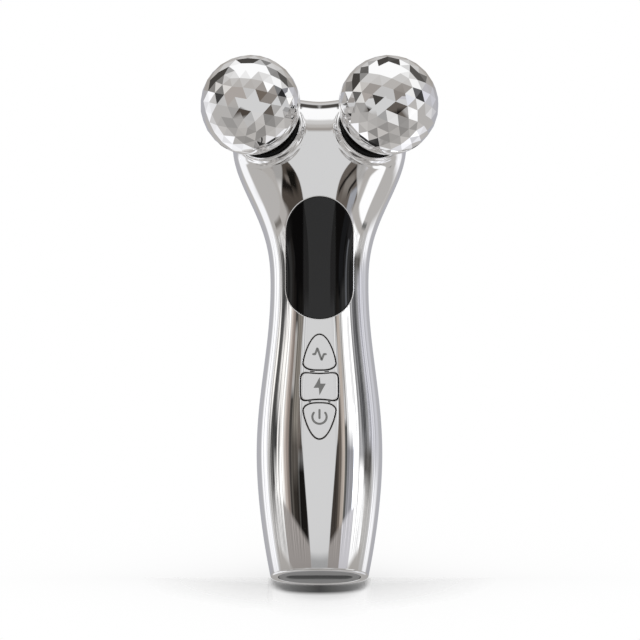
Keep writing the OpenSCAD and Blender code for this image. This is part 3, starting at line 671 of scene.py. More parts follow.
def feed(tree, socket, value):
    """A link from a value, or a plain setting."""
    if isinstance(value, Value):
        tree.links.new(value.socket, socket)
    else:
        socket.default_value = value


class Shader:
    """Node tree of a material or of the world, with one method that adds any node."""

    def __init__(self, tree):
        self.tree = tree
        tree.nodes.clear()

    def node(self, kind, settings=None, output=0, **inputs):
        """Adds a node: its settings first, then the values or links of its sockets, by name or as i and the
        socket's number."""
        node = self.tree.nodes.new("ShaderNode" + kind)
        for name, value in (settings or {}).items():
            setattr(node, name, value)
        for name, value in inputs.items():
            numbered = name[0] == "i" and name[1:].isdigit()
            feed(self.tree, node.inputs[int(name[1:]) if numbered else name.replace("_", " ")], value)
        return Value(self.tree, node.outputs[output])

    def mix(self, factor, first, second):
        """Colour mix from the first to the second."""
        return self.node("Mix", {"data_type": "RGBA"}, output=2, i0=factor, i6=first, i7=second)

    def place(self):
        """Object coordinates."""
        return self.node("TexCoord", output=3)

    def axes(self, vector):
        """X, y and z of a vector."""
        node = self.node("SeparateXYZ", i0=vector).socket.node
        return [Value(self.tree, socket) for socket in node.outputs]

    def blend(self, factor, first, second):
        """Mix from the first shader to the second."""
        return self.node("MixShader", i0=factor, i1=first, i2=second)

    def glow(self, tint=WHITE):
        """Light of a colour, whatever falls on the surface."""
        return self.node("Emission", Color=tint, Strength=1.0)

    def light_path(self, name):
        """1 for one kind of ray and 0 for the others."""
        node = self.tree.nodes.new("ShaderNodeLightPath")
        return Value(self.tree, node.outputs[name])

    def backface(self):
        """1 on the back of a surface and 0 on its front."""
        return self.node("NewGeometry", output=6)

    def noise(self, scale, detail=3.0, roughness=0.5, place=None):
        """Noise from 0 to 1 on object coordinates."""
        return self.node(
            "TexNoise", Vector=place or self.place(), Scale=scale, Detail=detail, Roughness=roughness
        )

    def bump(self, height, distance):
        """Normal raised by a height."""
        return self.node("Bump", Strength=1.0, Distance=distance, Height=height)

    def finish(self, **inputs):
        """Principled shader with the given sockets, joined to the output."""
        self.show(self.node("BsdfPrincipled", **inputs))

    def show(self, shader, kind="Material"):
        """Joins a shader to the output of a material or of the world."""
        output = self.tree.nodes.new("ShaderNodeOutput" + kind)
        self.tree.links.new(shader.socket, output.inputs["Surface"])


def new_material(name):
    """A node material and its shader."""
    material = bpy.data.materials.get(name) or bpy.data.materials.new(name)
    material.use_nodes = True
    return material, Shader(material.node_tree)


def plating(name, tint, rough=0.02, haze=0.02):
    """Mirror plating: a faint haze of finger marks in the roughness, and a faint uneven tint."""
    material, shader = new_material(name)
    marks = shader.noise(260, detail=5, roughness=0.65)
    cloud = shader.noise(45, detail=2)
    smudge = (cloud.soft_step(0.56, 0.2) * marks) * haze
    clouded = shader.mix(cloud.soft_step(0.5, 0.5), (*tint, 1), (*(0.985 * c for c in tint), 1))
    shader.finish(Base_Color=clouded, Metallic=1.0, Roughness=smudge + rough)
    return material


def moulded(name, tint, rough=0.45, grain=0.02, coat=0.0):
    """Moulded plastic: fine spark-eroded grain, and a little unevenness in colour and gloss."""
    material, shader = new_material(name)
    fine = shader.noise(2600, detail=2)
    cloud = shader.noise(70, detail=3)
    darker = tuple(0.86 * c for c in tint)
    shader.finish(
        Base_Color=shader.mix(cloud, (*darker, 1), (*(min(1, 1.08 * c) for c in tint), 1)),
        Roughness=cloud * 0.12 + (rough - 0.06), Normal=shader.bump(fine, grain * MM), Coat_Weight=coat,
    )
    return material


def rubber(name, tint, ior=1.5):
    """Moulded rubber: matte, with soft mottling and a faint bloom."""
    material, shader = new_material(name)
    bloom = shader.noise(140, detail=4).soft_step(0.6, 0.4)
    shader.finish(
        Base_Color=shader.mix(bloom * 0.5, (*tint, 1), (*(3 * c for c in tint), 1)),
        Roughness=bloom * 0.15 + 0.42, Normal=shader.bump(shader.noise(1800, detail=2), 0.01 * MM), IOR=ior,
    )
    return material


def tinted_window(name, tint, strip, half_reflection_strip):
    """Polished black window with the faintest haze of wiping, and a painted reflection: an upright strip of
    its colour made a little lighter, standing in for the reflection of the grey card in front."""
    material, shader = new_material(name)
    wipe = shader.noise(180, detail=5, roughness=0.7)
    across, _, _ = shader.axes(shader.place())
    # Painted reflection: mask of the upright strip whose colour is made lighter
    lit = 1 - across.math("ABSOLUTE").soft_step(half_reflection_strip, 0.5 * MM)
    shader.finish(
        Base_Color=shader.mix(lit * (wipe * 0.1 + 0.9), (*tint, 1), (*strip, 1)),
        Roughness=wipe.soft_step(0.6, 0.3) * 0.02 + 0.015, IOR=1.36,
    )
    return material


# Radians of the turned rings' wave for each metre, and the same for the tracks' two waves
TURNED_RINGS, TRACKS_ACROSS, TRACKS_UP = 42000, 4200, 260


def turned(name, tint, axis, rough=0.28):
    """Turned metal: fine rings about an axis, and cloudy gloss."""
    material, shader = new_material(name)
    axis = tuple(float(a) for a in axis)
    along = shader.node("VectorMath", {"operation": "DOT_PRODUCT"}, output=1, i0=shader.place(), i1=axis)
    rings = (along * TURNED_RINGS).math("SINE") * 0.5 + 0.5
    cloud = shader.noise(160, detail=3)
    shader.finish(
        Base_Color=shader.mix(cloud, (*(0.85 * c for c in tint), 1), (*tint, 1)), Metallic=1.0,
        Roughness=cloud * 0.15 + (rough - 0.07), Normal=shader.bump(rings, 0.004 * MM),
    )
    return material


def circuit_board(name, tint):
    """Solder mask over copper tracks: stepped lines under a green coat."""
    material, shader = new_material(name)
    across, _, up = shader.axes(shader.place())
    wander = shader.noise(120, detail=0) * 6
    tracks = ((across * TRACKS_ACROSS + wander).math("SINE").soft_step(0.55, 0.2)
              * (up * TRACKS_UP + wander).math("SINE").soft_step(-0.4, 0.1))
    pale = tuple(min(1, 2.4 * c) for c in tint)
    shader.finish(
        Base_Color=shader.mix(tracks, (*tint, 1), (*pale, 1)), Roughness=tracks * -0.08 + 0.34,
        Normal=shader.bump(tracks, 0.02 * MM),
    )
    return material


# ---------- Operators ----------


class ToningPiece:
    """What the piece operators share."""

    bl_options = {"REGISTER", "UNDO"}

    @property
    def sizes(self):
        """The scene's sizes."""
        return bpy.context.scene.toning_sizes

    @property
    def finishes(self):
        """The scene's colours."""
        return bpy.context.scene.toning_finishes

    def chrome(self):
        """Plating of the shells, collars and bands."""
        return plating("bright_plating", self.finishes.plating)

    def dark(self):
        """Unplated black plastic inside the gaps."""
        return moulded("black_plastic", self.finishes.black)


# Halvings that find the skin in an arm's end plane, and how much of the fillet's softness they reach over
END_HALVINGS, END_REACH = 24, 0.75


def arm_end_face(side, s):
    """Flat end of an arm: rings in its end plane from the skin in to the collar's bore."""
    centre, back, across, over = arm_frame(side, s)
    middle = centre + back * s.arm_distance
    ray = np.cos(AROUND)[:, None] * across + np.sin(AROUND)[:, None] * over
    furthest = s.arm_diameter / 2 + END_REACH * s.arm_blend
    skin, _ = halved(
        lambda reach: body_gap(middle + ray * reach[:, None], s) < 0,
        np.zeros(OUTLINE_POINTS), np.full(OUTLINE_POINTS, furthest), END_HALVINGS,
    )
    bore = np.full(OUTLINE_POINTS, s.arm_diameter / 2 - s.wall)
    rings = [middle + ray * reach for reach in np.linspace(skin, bore, 4)[:, :, None]]
    return sheet(np.array(rings), closed=True, flip=True)


# How far a shell's edge shows inwards along the parting line
PARTING_DEPTH = 0.9 * MM
# Radius of the shells' rounded rim at the foot, where the grid of the skin begins
RIM_ROUND = 0.6 * MM
# How far the grid of the skin runs past the parting line and past the top, as angles
PAST_PARTING, PAST_TOP = 0.01, 0.003
# Level rows and rows of the fan in the grids of both skins, and columns of the rear one
FRONT_ROWS, REAR_ROWS, REAR_COLUMNS = (262, 104), (200, 84), 180


def parting_edge(turn, s):
    """Edge of a shell along the parting line: from the skin straight in towards the middle."""
    rises = np.linspace(0, s.fan_height + s.fan_reach * np.pi / 2, PARTING_POINTS)
    outer = body_points(np.full_like(rises, turn), rises, s)
    inner = outer - body_normals(outer, s) * PARTING_DEPTH
    return np.stack([outer, inner])


def shell_skin(keep, first, last, columns, rows, s):
    """Skin of a shell between two turns, where keep is above zero: even level rows up to the fan's height,
    then rows that swing up to the top."""
    level_rows, fan_rows = rows
    turns = np.linspace(first - PAST_PARTING, last + PAST_PARTING, columns)
    rises = np.concatenate([
        np.linspace(RIM_ROUND, s.fan_height, level_rows, endpoint=False),
        s.fan_height + s.fan_reach * np.linspace(0, np.pi / 2 + PAST_TOP, fan_rows),
    ])
    return trimmed(body_points, keep, turns, rises, s)


# Length of an arm's root along its axis, how far it stays on its own side of the middle, and its grid
ROOT_LENGTH, ROOT_SIDE, ROOT_COLUMNS, ROOT_ROWS = 14 * MM, 1 * MM, 181, 60


def arm_skin(side, s):
    """Skin of one arm and its root in front of the parting line, and the flat face at its end."""
    def root(points, s):
        own = side * points[..., 0] - ROOT_SIDE
        return np.minimum.reduce([own, -points[..., 1] - HAIRLINE, -beyond_arms(points, s)])

    turns = np.linspace(-np.pi, np.pi, ROOT_COLUMNS)
    rises = np.linspace(0, ROOT_LENGTH, ROOT_ROWS)
    return [trimmed(arm_points(side), root, turns, rises, s), arm_end_face(side, s)]


class TONING_OT_front_shell(ToningPiece, Operator):
    """Front shell with its arms and openings, from rays that meet the blended skin"""

    bl_idname = "toning.front_shell"
    bl_label = "Front shell"

    def execute(self, context):
        s = self.sizes
        holes = openings(s)
        columns = context.scene.toning_studio.render_columns
        shift = np.array([0, -HAIRLINE, 0])

        def keep(points, s):
            shares = [outline.beyond(points, gap + radius, s) for outline, gap, radius in holes.values()]
            return np.minimum.reduce([-points[..., 1] - HAIRLINE, beyond_arms(points, s), *shares])

        surfaces = [shell_skin(keep, -np.pi / 2, np.pi / 2, columns, FRONT_ROWS, s)]
        for outline, gap, radius in holes.values():
            surfaces += lip(outline, gap, radius, OPENING_DEPTH, s)
        for side in SIDES:
            surfaces += arm_skin(side, s)
        surfaces += [
            sheet(parting_edge(np.pi / 2, s) + shift),
            sheet(parting_edge(-np.pi / 2, s) + shift, flip=True),
            foot_rim(-np.pi / 2, np.pi / 2, s),
        ]
        materials = [self.chrome(), self.dark()]
        put_piece("front_shell_skin", surfaces, materials, "handle", ["front_shell"])
        return {"FINISHED"}


def foot_rim(first, last, s):
    """Rim of a shell at the foot, as levels and insets: a quarter round from the skin to the flat foot, then
    in to a small chamfer and up beside the cap."""
    turns = np.linspace(first, last, RIM_POINTS)
    chamfer, inner_wall = 0.15 * MM, 1.5 * MM
    path = [(RIM_ROUND * (1 - math.sin(t)), RIM_ROUND * (1 - math.cos(t))) for t in ROUNDING]
    path += [(0.0, inset) for inset in np.linspace(RIM_ROUND, s.wall - chamfer, 4)[1:]]
    path += [(level, s.wall) for level in (chamfer, inner_wall)]
    return sheet(np.array([superellipse(turns, level, inset, s) for level, inset in path]), flip=True)


def superellipse(turns, level, inset, s):
    """Ring of the handle's section at a level: its half axes, less an inset, times powers of sine and cosine,
    at the angles that the rays of the skin leave the middle at."""
    wide, deep = half_width(level, s) - inset, half_depth(level, s) - inset
    reach = ((np.abs(np.sin(turns)) / wide) ** SECTION_POWER
             + (np.abs(np.cos(turns)) / deep) ** SECTION_POWER) ** (-1 / SECTION_POWER)
    return np.stack([np.sin(turns) * reach, -np.cos(turns) * reach, np.full_like(turns, level)], -1)


class TONING_OT_rear_shell(ToningPiece, Operator):
    """Rear shell, the same skin behind the parting line"""

    bl_idname = "toning.rear_shell"
    bl_label = "Rear shell"

    def execute(self, context):
        s = self.sizes
        shift = np.array([0, HAIRLINE, 0])

        def keep(points, s):
            return points[..., 1] - HAIRLINE

        surfaces = [
            shell_skin(keep, np.pi / 2, 3 * np.pi / 2, REAR_COLUMNS, REAR_ROWS, s),
            sheet(parting_edge(np.pi / 2, s) + shift, flip=True),
            sheet(parting_edge(-np.pi / 2, s) + shift),
            foot_rim(np.pi / 2, 3 * np.pi / 2, s),
        ]
        put_piece("rear_shell_skin", surfaces, [self.chrome()], "handle", ["rear_shell"])
        return {"FINISHED"}


# Width of the paler upright strip painted into the window's colour, a painted reflection of the grey card in
# front
PAINTED_REFLECTION_WIDTH = 10 * MM
# Rounding of the window's edge, and how far its side runs in
WINDOW_ROUND, WINDOW_DEPTH = 0.15 * MM, 2.2 * MM


class TONING_OT_window(ToningPiece, Operator):
    """Black window that fills its stadium flush with the skin"""

    bl_idname = "toning.window"
    bl_label = "Display window"

    def execute(self, context):
        s = self.sizes
        finishes = self.finishes
        surfaces = cap(Stadium(s.window_middle), 0.0, WINDOW_ROUND, WINDOW_DEPTH, s)
        # The display colour is the painted reflection strip in the window's colour
        glass = tinted_window("tinted_window", finishes.window, finishes.display, PAINTED_REFLECTION_WIDTH / 2)
        put_piece("window_glass", surfaces, [glass, self.dark()], "handle", ["display_window"])
        return {"FINISHED"}


# How far a button's side and the floor of the gap round it lie in from the skin, how far that floor reaches
# under the button, and how far the marks stand on it
BUTTON_DEPTH, FLOOR_DEPTH, FLOOR_REACH, INK_RISE = 1.5 * MM, 0.9 * MM, 0.1 * MM, 0.012 * MM


def gap_floor(outline, gap, s):
    """Dark floor of the gap round a button, from the opening's side to a little under the button."""
    rings = [outline.ring(margin, 1, FLOOR_DEPTH, s) for margin in np.linspace(gap, -FLOOR_REACH, 4)]
    return sheet(np.array(rings), closed=True)


# Half the width that is left at a stroke's very ends
STROKE_END = 0.005 * MM


def stroke(path, width, inset, level, s):
    """Inked stroke along a path of the front view: a band of the given width with rounded ends, laid on the
    skin at an inset. The path is resampled evenly by its length, and the ends narrow as a circle does."""
    path = np.asarray(path, float) * MM
    steps = np.hypot(*np.diff(path, axis=0).T)
    run = np.concatenate([[0], np.cumsum(steps)])
    half = width / 2
    at = np.unique(np.concatenate([np.linspace(0, run[-1], 60), run[1:-1]]))
    centre = np.stack([np.interp(at, run, path[:, k]) for k in (0, 1)], -1)
    way = unit(np.gradient(centre, axis=0))
    beyond = np.minimum(at, run[-1] - at)
    spread = half * np.sqrt(np.maximum(0, 1 - np.maximum(0, 1 - beyond / half) ** 2)) + STROKE_END
    side = np.stack([way[:, 1], -way[:, 0]], -1) * spread[:, None]
    flat = np.stack([centre - side * k for k in np.linspace(1, -1, 5)], 1)
    x, z = flat[..., 0], level + flat[..., 1]
    points = np.stack([x, front_y(x, z, inset, s), z], -1)
    surface = sheet(points)
    return surface if surface.normals[:, 1].mean() < 0 else sheet(points, flip=True)


# Width of the inked strokes, the points of the pulse line in millimetres, and how far it is raised
STROKE = 0.66 * MM
PULSE = [(-2.3, 0), (-1.35, 0), (-0.65, 1.9), (0.65, -1.9), (1.35, 0), (2.3, 0)]
PULSE_RAISE = 2.7
# Height, left edge and right edge of the bolt, from its lower tip to its upper one
BOLT = [(-2.8, -0.02, 0.02), (-0.47, -0.22, 1.23), (-0.469, -1.85, 1.23), (0.87, -1.05, 1.97),
        (0.871, -1.05, 0.3), (2.85, 0.0, 0.12)]
# Radius of the power sign's ring, half its opening in degrees, how far the sign is lowered, and its bar
POWER_RADIUS, POWER_OPENING, POWER_DROP = 2.2, 44, 2.1
POWER_BAR = [(0.0, -0.7), (0.0, 2.5)]


def bolt(inset, level, s):
    """Filled bolt between its left and right edges, laid on the skin."""
    rows = np.array(BOLT) * MM
    heights = np.unique(np.concatenate([rows[:, 0], np.linspace(rows[0, 0], rows[-1, 0], 40)]))
    left, right = (np.interp(heights, rows[:, 0], rows[:, k]) for k in (1, 2))
    x = left[:, None] + (right - left)[:, None] * np.linspace(0, 1, 6)
    z = np.broadcast_to(level + heights[:, None], x.shape)
    return sheet(np.stack([x, front_y(x, z, inset, s), z], -1))


def mode_mark(inset, level, s):
    """Pulse line, for the choice of programme."""
    raised = [(x, z + PULSE_RAISE) for x, z in PULSE]
    return [stroke(raised, STROKE, inset, level, s)]


def intensity_mark(inset, level, s):
    """Bolt, for the strength of the current."""
    return [bolt(inset, level, s)]


def power_mark(inset, level, s):
    """Ring open at its top with a bar in the opening."""
    turns = np.radians(np.linspace(90 + POWER_OPENING, 450 - POWER_OPENING, 60))
    ring = [(POWER_RADIUS * math.cos(t), POWER_RADIUS * math.sin(t) - POWER_DROP) for t in turns]
    bar = [(x, z - POWER_DROP) for x, z in POWER_BAR]
    return [stroke(path, STROKE, inset, level, s) for path in (ring, bar)]


BUTTON_MARKS = {"mode": mode_mark, "intensity": intensity_mark, "power": power_mark}


class TONING_OT_buttons(ToningPiece, Operator):
    """Three plated buttons with rounded edges, dark gaps and inked marks"""

    bl_idname = "toning.buttons"
    bl_label = "Buttons"

    def execute(self, context):
        s = self.sizes
        face = plating("button_plating", self.finishes.plating, rough=0.05, haze=0.03)
        ink = moulded("button_ink", self.finishes.ink, rough=0.4, grain=0.004)
        holes = openings(s)
        for name, mark in BUTTON_MARKS.items():
            outline, gap, _ = holes[name]
            surfaces = cap(outline, s.button_proud, s.button_edge, BUTTON_DEPTH, s)
            marks = mark(-s.button_proud - INK_RISE, outline.level, s)
            for surface in marks:
                surface.material = 2
            put_piece(name + "_button_cap", surfaces + marks, [face, self.dark(), ink], name + "_key",
                      [name + "_button"])
            floor = gap_floor(outline, gap, s)
            put_piece(name + "_gap", [floor], [self.dark()], "handle", ())
        return {"FINISHED"}


def revolved(side, outline, s):
    """Outline of radius and distance along the arm, carried round the arm's axis. It faces outwards where it
    is widest."""
    centre, back, across, over = arm_frame(side, s)
    turn = np.linspace(0, 2 * np.pi, TURNED_POINTS, endpoint=False)
    ray = np.cos(turn)[:, None] * across + np.sin(turn)[:, None] * over
    radius, along = np.asarray(outline, float).T[:, :, None, None]
    points = centre + along * back + radius * ray[None]
    surface = sheet(points, closed=True)
    wide = int(np.argmax(radius))
    facing = (surface.normals.reshape(points.shape)[wide] * radius[wide] * ray).sum()
    return surface if facing > 0 else sheet(points, closed=True, flip=True)


def arc(centre, radius, first, last, steps=10):
    """Points on a circle in the plane of radius and distance."""
    turn = np.radians(np.linspace(first, last, steps))
    return [(centre[0] + radius * math.cos(t), centre[1] + radius * math.sin(t)) for t in turn]


class TONING_OT_rollers(ToningPiece, Operator):
    """Smooth band that closes each faceted ball, and the plating of the facets"""

    bl_idname = "toning.rollers"
    bl_label = "Rollers"

    def execute(self, context):
        s = self.sizes
        facets = plating("facet_plating", self.finishes.plating, rough=0.012, haze=0.01)
        ball = s.roller_diameter / 2
        rounding, bore, ledge = 0.5 * MM, 3.6 * MM, 0.4 * MM
        first = math.degrees(math.asin(s.roller_seam / ball))
        last = math.degrees(math.asin((s.roller_end - rounding) / ball))
        belt = arc((0, 0), ball, first, last, steps=34)
        turn_in = arc((belt[-1][0] - rounding, s.roller_end - rounding), rounding, last * 0.6, 90, steps=8)
        flat = [(radius, s.roller_end) for radius in np.linspace(turn_in[-1][0], bore, 5)[1:]]
        mouth = [(ball * math.cos(math.radians(first)) - ledge, s.roller_seam), belt[0]]
        for side, word in SIDES.items():
            surfaces = [revolved(side, belt + turn_in[1:] + flat, s), revolved(side, mouth, s)]
            put_piece(word + "_roller_band", surfaces, [self.chrome()], word + "_ball",
                      [word + "_roller_hub"])
            finish_node(word + "_roller", facets)
        return {"FINISHED"}


# Wall of a collar, and the roundings of its mouth's inside, its front and its back
COLLAR_WALL, INNER_ROUND, FRONT_ROUND, BACK_ROUND = 1.15 * MM, 0.3 * MM, 0.6 * MM, 0.35 * MM
# Gap between seal and collar, how far the seal stands out of it, its rounding and its gap to the shoulder
SEAL_GAP, SEAL_STAND, SEAL_ROUND, SEAL_CLEARANCE = 0.1 * MM, 0.4 * MM, 0.8 * MM, 0.3 * MM
# Groove in the seal's face: millimetres in from its rim and down from its front
SEAL_GROOVE = [(1.6, 0.3), (2.2, 0.5), (3.4, 0.5), (4.0, 0.1)]


class TONING_OT_collars(ToningPiece, Operator):
    """Plated collar on each arm and the ribbed seal inside it"""

    bl_idname = "toning.collars"
    bl_label = "Collars and seals"

    def execute(self, context):
        s = self.sizes
        black = rubber("seal_rubber", self.finishes.rubber, ior=1.2)
        outer, back = s.collar_diameter / 2, s.arm_distance
        start = back - s.collar_length
        inner = outer - COLLAR_WALL
        ring = ([(inner, back - 0.2 * MM), (inner, start + INNER_ROUND)]
                + arc((inner + INNER_ROUND, start + INNER_ROUND), INNER_ROUND, 180, 270, steps=6)
                + arc((outer - FRONT_ROUND, start + FRONT_ROUND), FRONT_ROUND, 270, 360)
                + arc((outer - BACK_ROUND, back - BACK_ROUND), BACK_ROUND, 0, 90, steps=6)
                + [(inner, back)])
        rim, front = inner - SEAL_GAP, start - SEAL_STAND
        groove = [(rim - inwards * MM, front + depth * MM) for inwards, depth in SEAL_GROOVE]
        seal = ([(rim, back), (rim, front + SEAL_ROUND)]
                + arc((rim - SEAL_ROUND, front + SEAL_ROUND), SEAL_ROUND, 0, -90)
                + groove + [(s.shoulder_radius + SEAL_CLEARANCE, groove[-1][1])])
        for side, word in SIDES.items():
            put_piece(word + "_collar_ring", [revolved(side, ring, s)], [self.chrome()], "handle",
                      [word + "_collar"])
            put_piece(word + "_seal_ring", [revolved(side, seal, s)], [black], "handle",
                      [word + "_seal"])
        return {"FINISHED"}


def slot_reach(turns, width, thickness):
    """Distance from the middle of a slot with round ends to its edge, at each turn from the front."""
    straight, radius = (width - thickness) / 2, thickness / 2
    along, across = np.abs(np.sin(turns)), np.abs(np.cos(turns))
    side = radius / np.maximum(across, 1e-9)
    end = straight * along + np.sqrt(np.maximum(radius**2 - (straight * across) ** 2, 0))
    return np.where(side * along <= straight, side, end)


class TONING_OT_foot(ToningPiece, Operator):
    """End cap with the recess for the charging plug"""

    bl_idname = "toning.foot"
    bl_label = "End cap"

    def execute(self, context):
        s = self.sizes
        turns = np.linspace(0, 2 * np.pi, FOOT_POINTS, endpoint=False)
        around = np.stack([np.sin(turns), -np.cos(turns)], -1)
        recess = slot_reach(turns, s.recess_width, s.recess_thickness)
        socket = slot_reach(turns, s.socket_width, s.socket_thickness)
        edge = np.hypot(*superellipse(turns, 0.0, s.wall + s.cap_gap, s)[:, :2].T)
        rounding = 0.35 * MM

        def ring(reach, level):
            return np.column_stack([around * reach[:, None], np.full(len(turns), level)])

        inner = [ring(socket, s.cap_height), ring(socket, s.recess_height)]
        floor = [ring(socket + (recess - socket) * k, s.recess_height) for k in (0, 0.3, 0.7, 1)]
        walls = [ring(recess, level) for level in np.linspace(s.recess_height, rounding, 6)]
        mouth = [ring(recess + rounding * (1 - math.cos(t)), rounding * (1 - math.sin(t))) for t in ROUNDING]
        flat = edge - recess - 2 * rounding
        face = [ring(recess + rounding + flat * k, 0.0) for k in np.linspace(0, 1, 6)]
        rim = [ring(edge - rounding * (1 - math.sin(t)), rounding * (1 - math.cos(t))) for t in ROUNDING]
        side = [ring(edge, level) for level in np.linspace(rounding, s.cap_height, 4)]
        parts = [inner, floor, walls + mouth[1:] + face[1:] + rim[1:] + side[1:]]
        surfaces = [sheet(np.array(rows), closed=True) for rows in parts]
        material = moulded("foot_plastic", self.finishes.foot, rough=0.38, grain=0.015)
        put_piece("foot_cap", surfaces, [material], "handle", ["end_cap"])
        return {"FINISHED"}


class TONING_OT_inner_parts(ToningPiece, Operator):
    """Finishes of the boards, frame, cell, switches, axles and leads that lie inside"""

    bl_idname = "toning.inner_parts"
    bl_label = "Inner parts"

    def execute(self, context):
        s, f = self.sizes, self.finishes
        black, pale = self.dark(), moulded("pale_plastic", f.pale, rough=0.5)
        steel = turned("zinc_steel", f.steel, (0, 1, 0), rough=0.32)
        mask = circuit_board("solder_mask", f.board)
        sleeve = moulded("lead_sleeve", f.lead, rough=0.35, grain=0.004)
        finishes = {
            "window_gasket": rubber("gasket_rubber", f.rubber),
            "display_module": moulded("display_face", f.black, rough=0.25, grain=0.005),
            "button_frame": black,
            "inner_frame": pale,
            "main_board": mask,
            "charging_board": mask,
            "charging_socket": turned("socket_shell", f.steel, (0, 0, 1), rough=0.25),
            "cell": moulded("cell_sleeve", f.cell, rough=0.2, grain=0.006, coat=0.4),
            "axle_nuts": steel,
            "frame_screws": steel,
            "board_screws": steel,
            "axle_leads": sleeve,
            "cell_leads": sleeve,
        }
        for key in BUTTON_MARKS:
            finishes[key + "_plunger"] = black
            finishes[key + "_switch"] = pale
        for side, word in SIDES.items():
            _, back, _, _ = arm_frame(side, s)
            ground = turned(word + "_ground_steel", f.steel, back, rough=0.2)
            brass = turned(word + "_turned_brass", f.brass, back)
            finishes[word + "_axle"] = ground
            finishes[word + "_axle_clip"] = ground
            finishes[word + "_axle_block"] = pale
            finishes[word + "_front_bush"] = brass
            finishes[word + "_rear_bush"] = brass
        for node, material in finishes.items():
            finish_node(node, material)
        return {"FINISHED"}


# ---------- Studio ----------

# What bright metal sees round it, as soft-edged panels painted one over the other. Each has its two turns
# from the front to the right, its two heights above the horizon and the softness of its edge, all in
# degrees, and its linear colour. Two more numbers, where given, are how many degrees its sides lean outwards
# for each degree of height, and how many degrees its lower and upper edge have risen sixty degrees to a side.
PANELS = [
    # ceiling, from the beige upper wall to the white light overhead
    (-181, 181, 20, 100, 4, (0.38, 0.355, 0.33)),
    (-181, 181, 30, 100, 8, (0.50, 0.48, 0.46)),
    (-181, 181, 42, 100, 8, (0.64, 0.63, 0.62)),
    (-181, 181, 58, 100, 8, (1.05, 1.05, 1.05)),
    # floor
    (-181, 181, -100, -3, 2, (0.48, 0.465, 0.45)),
    (-25, 25, -100, -8, 6, (0.56, 0.555, 0.55)),
    (-181, 181, -100, -56, 14, (0.40, 0.385, 0.37)),
    # wall behind the object
    (96, 132, 30, 62, 8, (0.10, 0.095, 0.09)),
    (-132, -92, 26, 60, 8, (0.06, 0.055, 0.05)),
    (-126, -98, -14, 24, 6, (1.0, 1.0, 1.02)),
    (108, 131, -5, 10, 6, (1.0, 1.0, 1.02)),
    (104, 134, 8, 26, 8, (0.60, 0.60, 0.64)),
    (-176, -112, -52, -18, 6, (1.0, 1.0, 1.02)),
    (118, 176, -52, -20, 6, (0.85, 0.85, 0.88)),
    (150, 181, 54, 74, 6, (0.07, 0.065, 0.06)),
    (-181, -150, 54, 74, 6, (0.07, 0.065, 0.06)),
    # white boards to both sides
    (38, 62, 0, 34, 3, (1.08, 1.08, 1.08)),
    (53, 80, -30, 9, 3, (1.08, 1.08, 1.08)),
    (54, 98, 24, 48, 8, (1.0, 1.0, 1.0)),
    (49, 53, 1, 17, 2, (4.4, 4.6, 5.0)),
    (-61, -51, 3, 30, 4, (1.0, 0.98, 0.95)),
    (-77, -59, -2.5, 10, 5, (1.0, 0.99, 0.97)),
    (-96, -60, 18, 32, 6, (0.80, 0.78, 0.75)),
    # dark stand on the left, between the board and the card
    (-85, -75, 3, 23, 4, (0.14, 0.135, 0.13)),
    (-79, -61, 8, 18, 7, (0.06, 0.06, 0.06)),
    (-68, -64, 1, 19, 2, (0.70, 0.68, 0.66)),
    (-52, -45, -2, 24, 3, (0.50, 0.44, 0.40)),
    (-46, -41, -2, 22, 2, (0.26, 0.215, 0.19)),
    (-41.5, -36, -2, 19, 1.5, (0.055, 0.05, 0.045)),
    (-36.5, -26, -2, 26, 1.5, (0.22, 0.20, 0.175)),
    (-36.5, -26, -2, 13, 4, (0.09, 0.08, 0.07)),
    (-35, -26, -2, 6, 3, (0.03, 0.026, 0.022)),
    (-27, -18, 9.5, 26, 2, (0.15, 0.13, 0.115)),
    (-27, -12, -12, 10, 6, (0.010, 0.009, 0.008)),
    # grey board and dark post on the right
    (35, 50, -2, 12, 4, (0.33, 0.33, 0.35)),
    (32, 36.5, -2, 15, 1.5, (0.085, 0.085, 0.08)),
    (26.5, 32.5, -2, 21, 1.5, (0.50, 0.44, 0.39)),
    (15, 27, -2, 21, 1.5, (0.15, 0.125, 0.105)),
    (13, 23, -2, 12, 1.5, (0.05, 0.042, 0.036)),
    (61, 90, 8, 26, 3, (0.30, 0.30, 0.305)),
    (69, 82, 12, 22, 5, (0.13, 0.13, 0.135)),
    (90, 106, 10, 26, 4, (0.62, 0.62, 0.67)),
    (74, 97, 5.5, 11.5, 4, (0.11, 0.105, 0.10)),
    # strip of light over the floor's far edge, and the dark line under it
    (-58, 34, -8, -1.5, 0.8, (0.34, 0.315, 0.30), 0, 5),
    (-80, -58, -8, -1.5, 1.5, (0.66, 0.65, 0.64), 0, 5),
    (32, 56, -8, -1.5, 0.8, (0.62, 0.61, 0.64), 0, 5),
    (54, 80, -8, -1.5, 1.5, (1.05, 1.05, 1.05), 0, 5),
    (-90, 90, -12, -8, 1, (0.45, 0.43, 0.41), 0, 5),
    (-84, -62, -6.5, -4.2, 1.5, (0.20, 0.185, 0.17)),
    (79, 94, -6.5, -4.2, 1.5, (0.17, 0.17, 0.165)),
    # grey card in front, wider at its top
    (-12.6, 12.6, -3, 23.5, 1, (0.675, 0.675, 0.675), 0.68),
    (-12.6, 12.6, -3, -1.5, 0.8, (0.40, 0.40, 0.40), 0.68),
    (-16, 16, -3.8, -3, 0.8, (0.12, 0.12, 0.12)),
]


# Colours of the bare walls in front and behind, the turn at which one begins to pass into the other, and how
# many degrees that takes
FRONT_WALL, BACK_WALL, BACK_TURN, BACK_RAMP = (0.52, 0.51, 0.50, 1), (0.44, 0.44, 0.47, 1), 95, 60
# Streaks of the studio's uneven walls: noise for each degree of turn and of height, how deep they go all
# round and, on top of that, to the sides, the turns of both, and the least light they leave
STREAKS = (0.55, 0.035)
ALL_ROUND_DEPTH, SIDE_DEPTH = 2.8, 3.5
ALL_ROUND, TO_THE_SIDES, STREAK_SOFT = (19, 120), (57, 98), 4
LEAST_LIGHT = 0.15
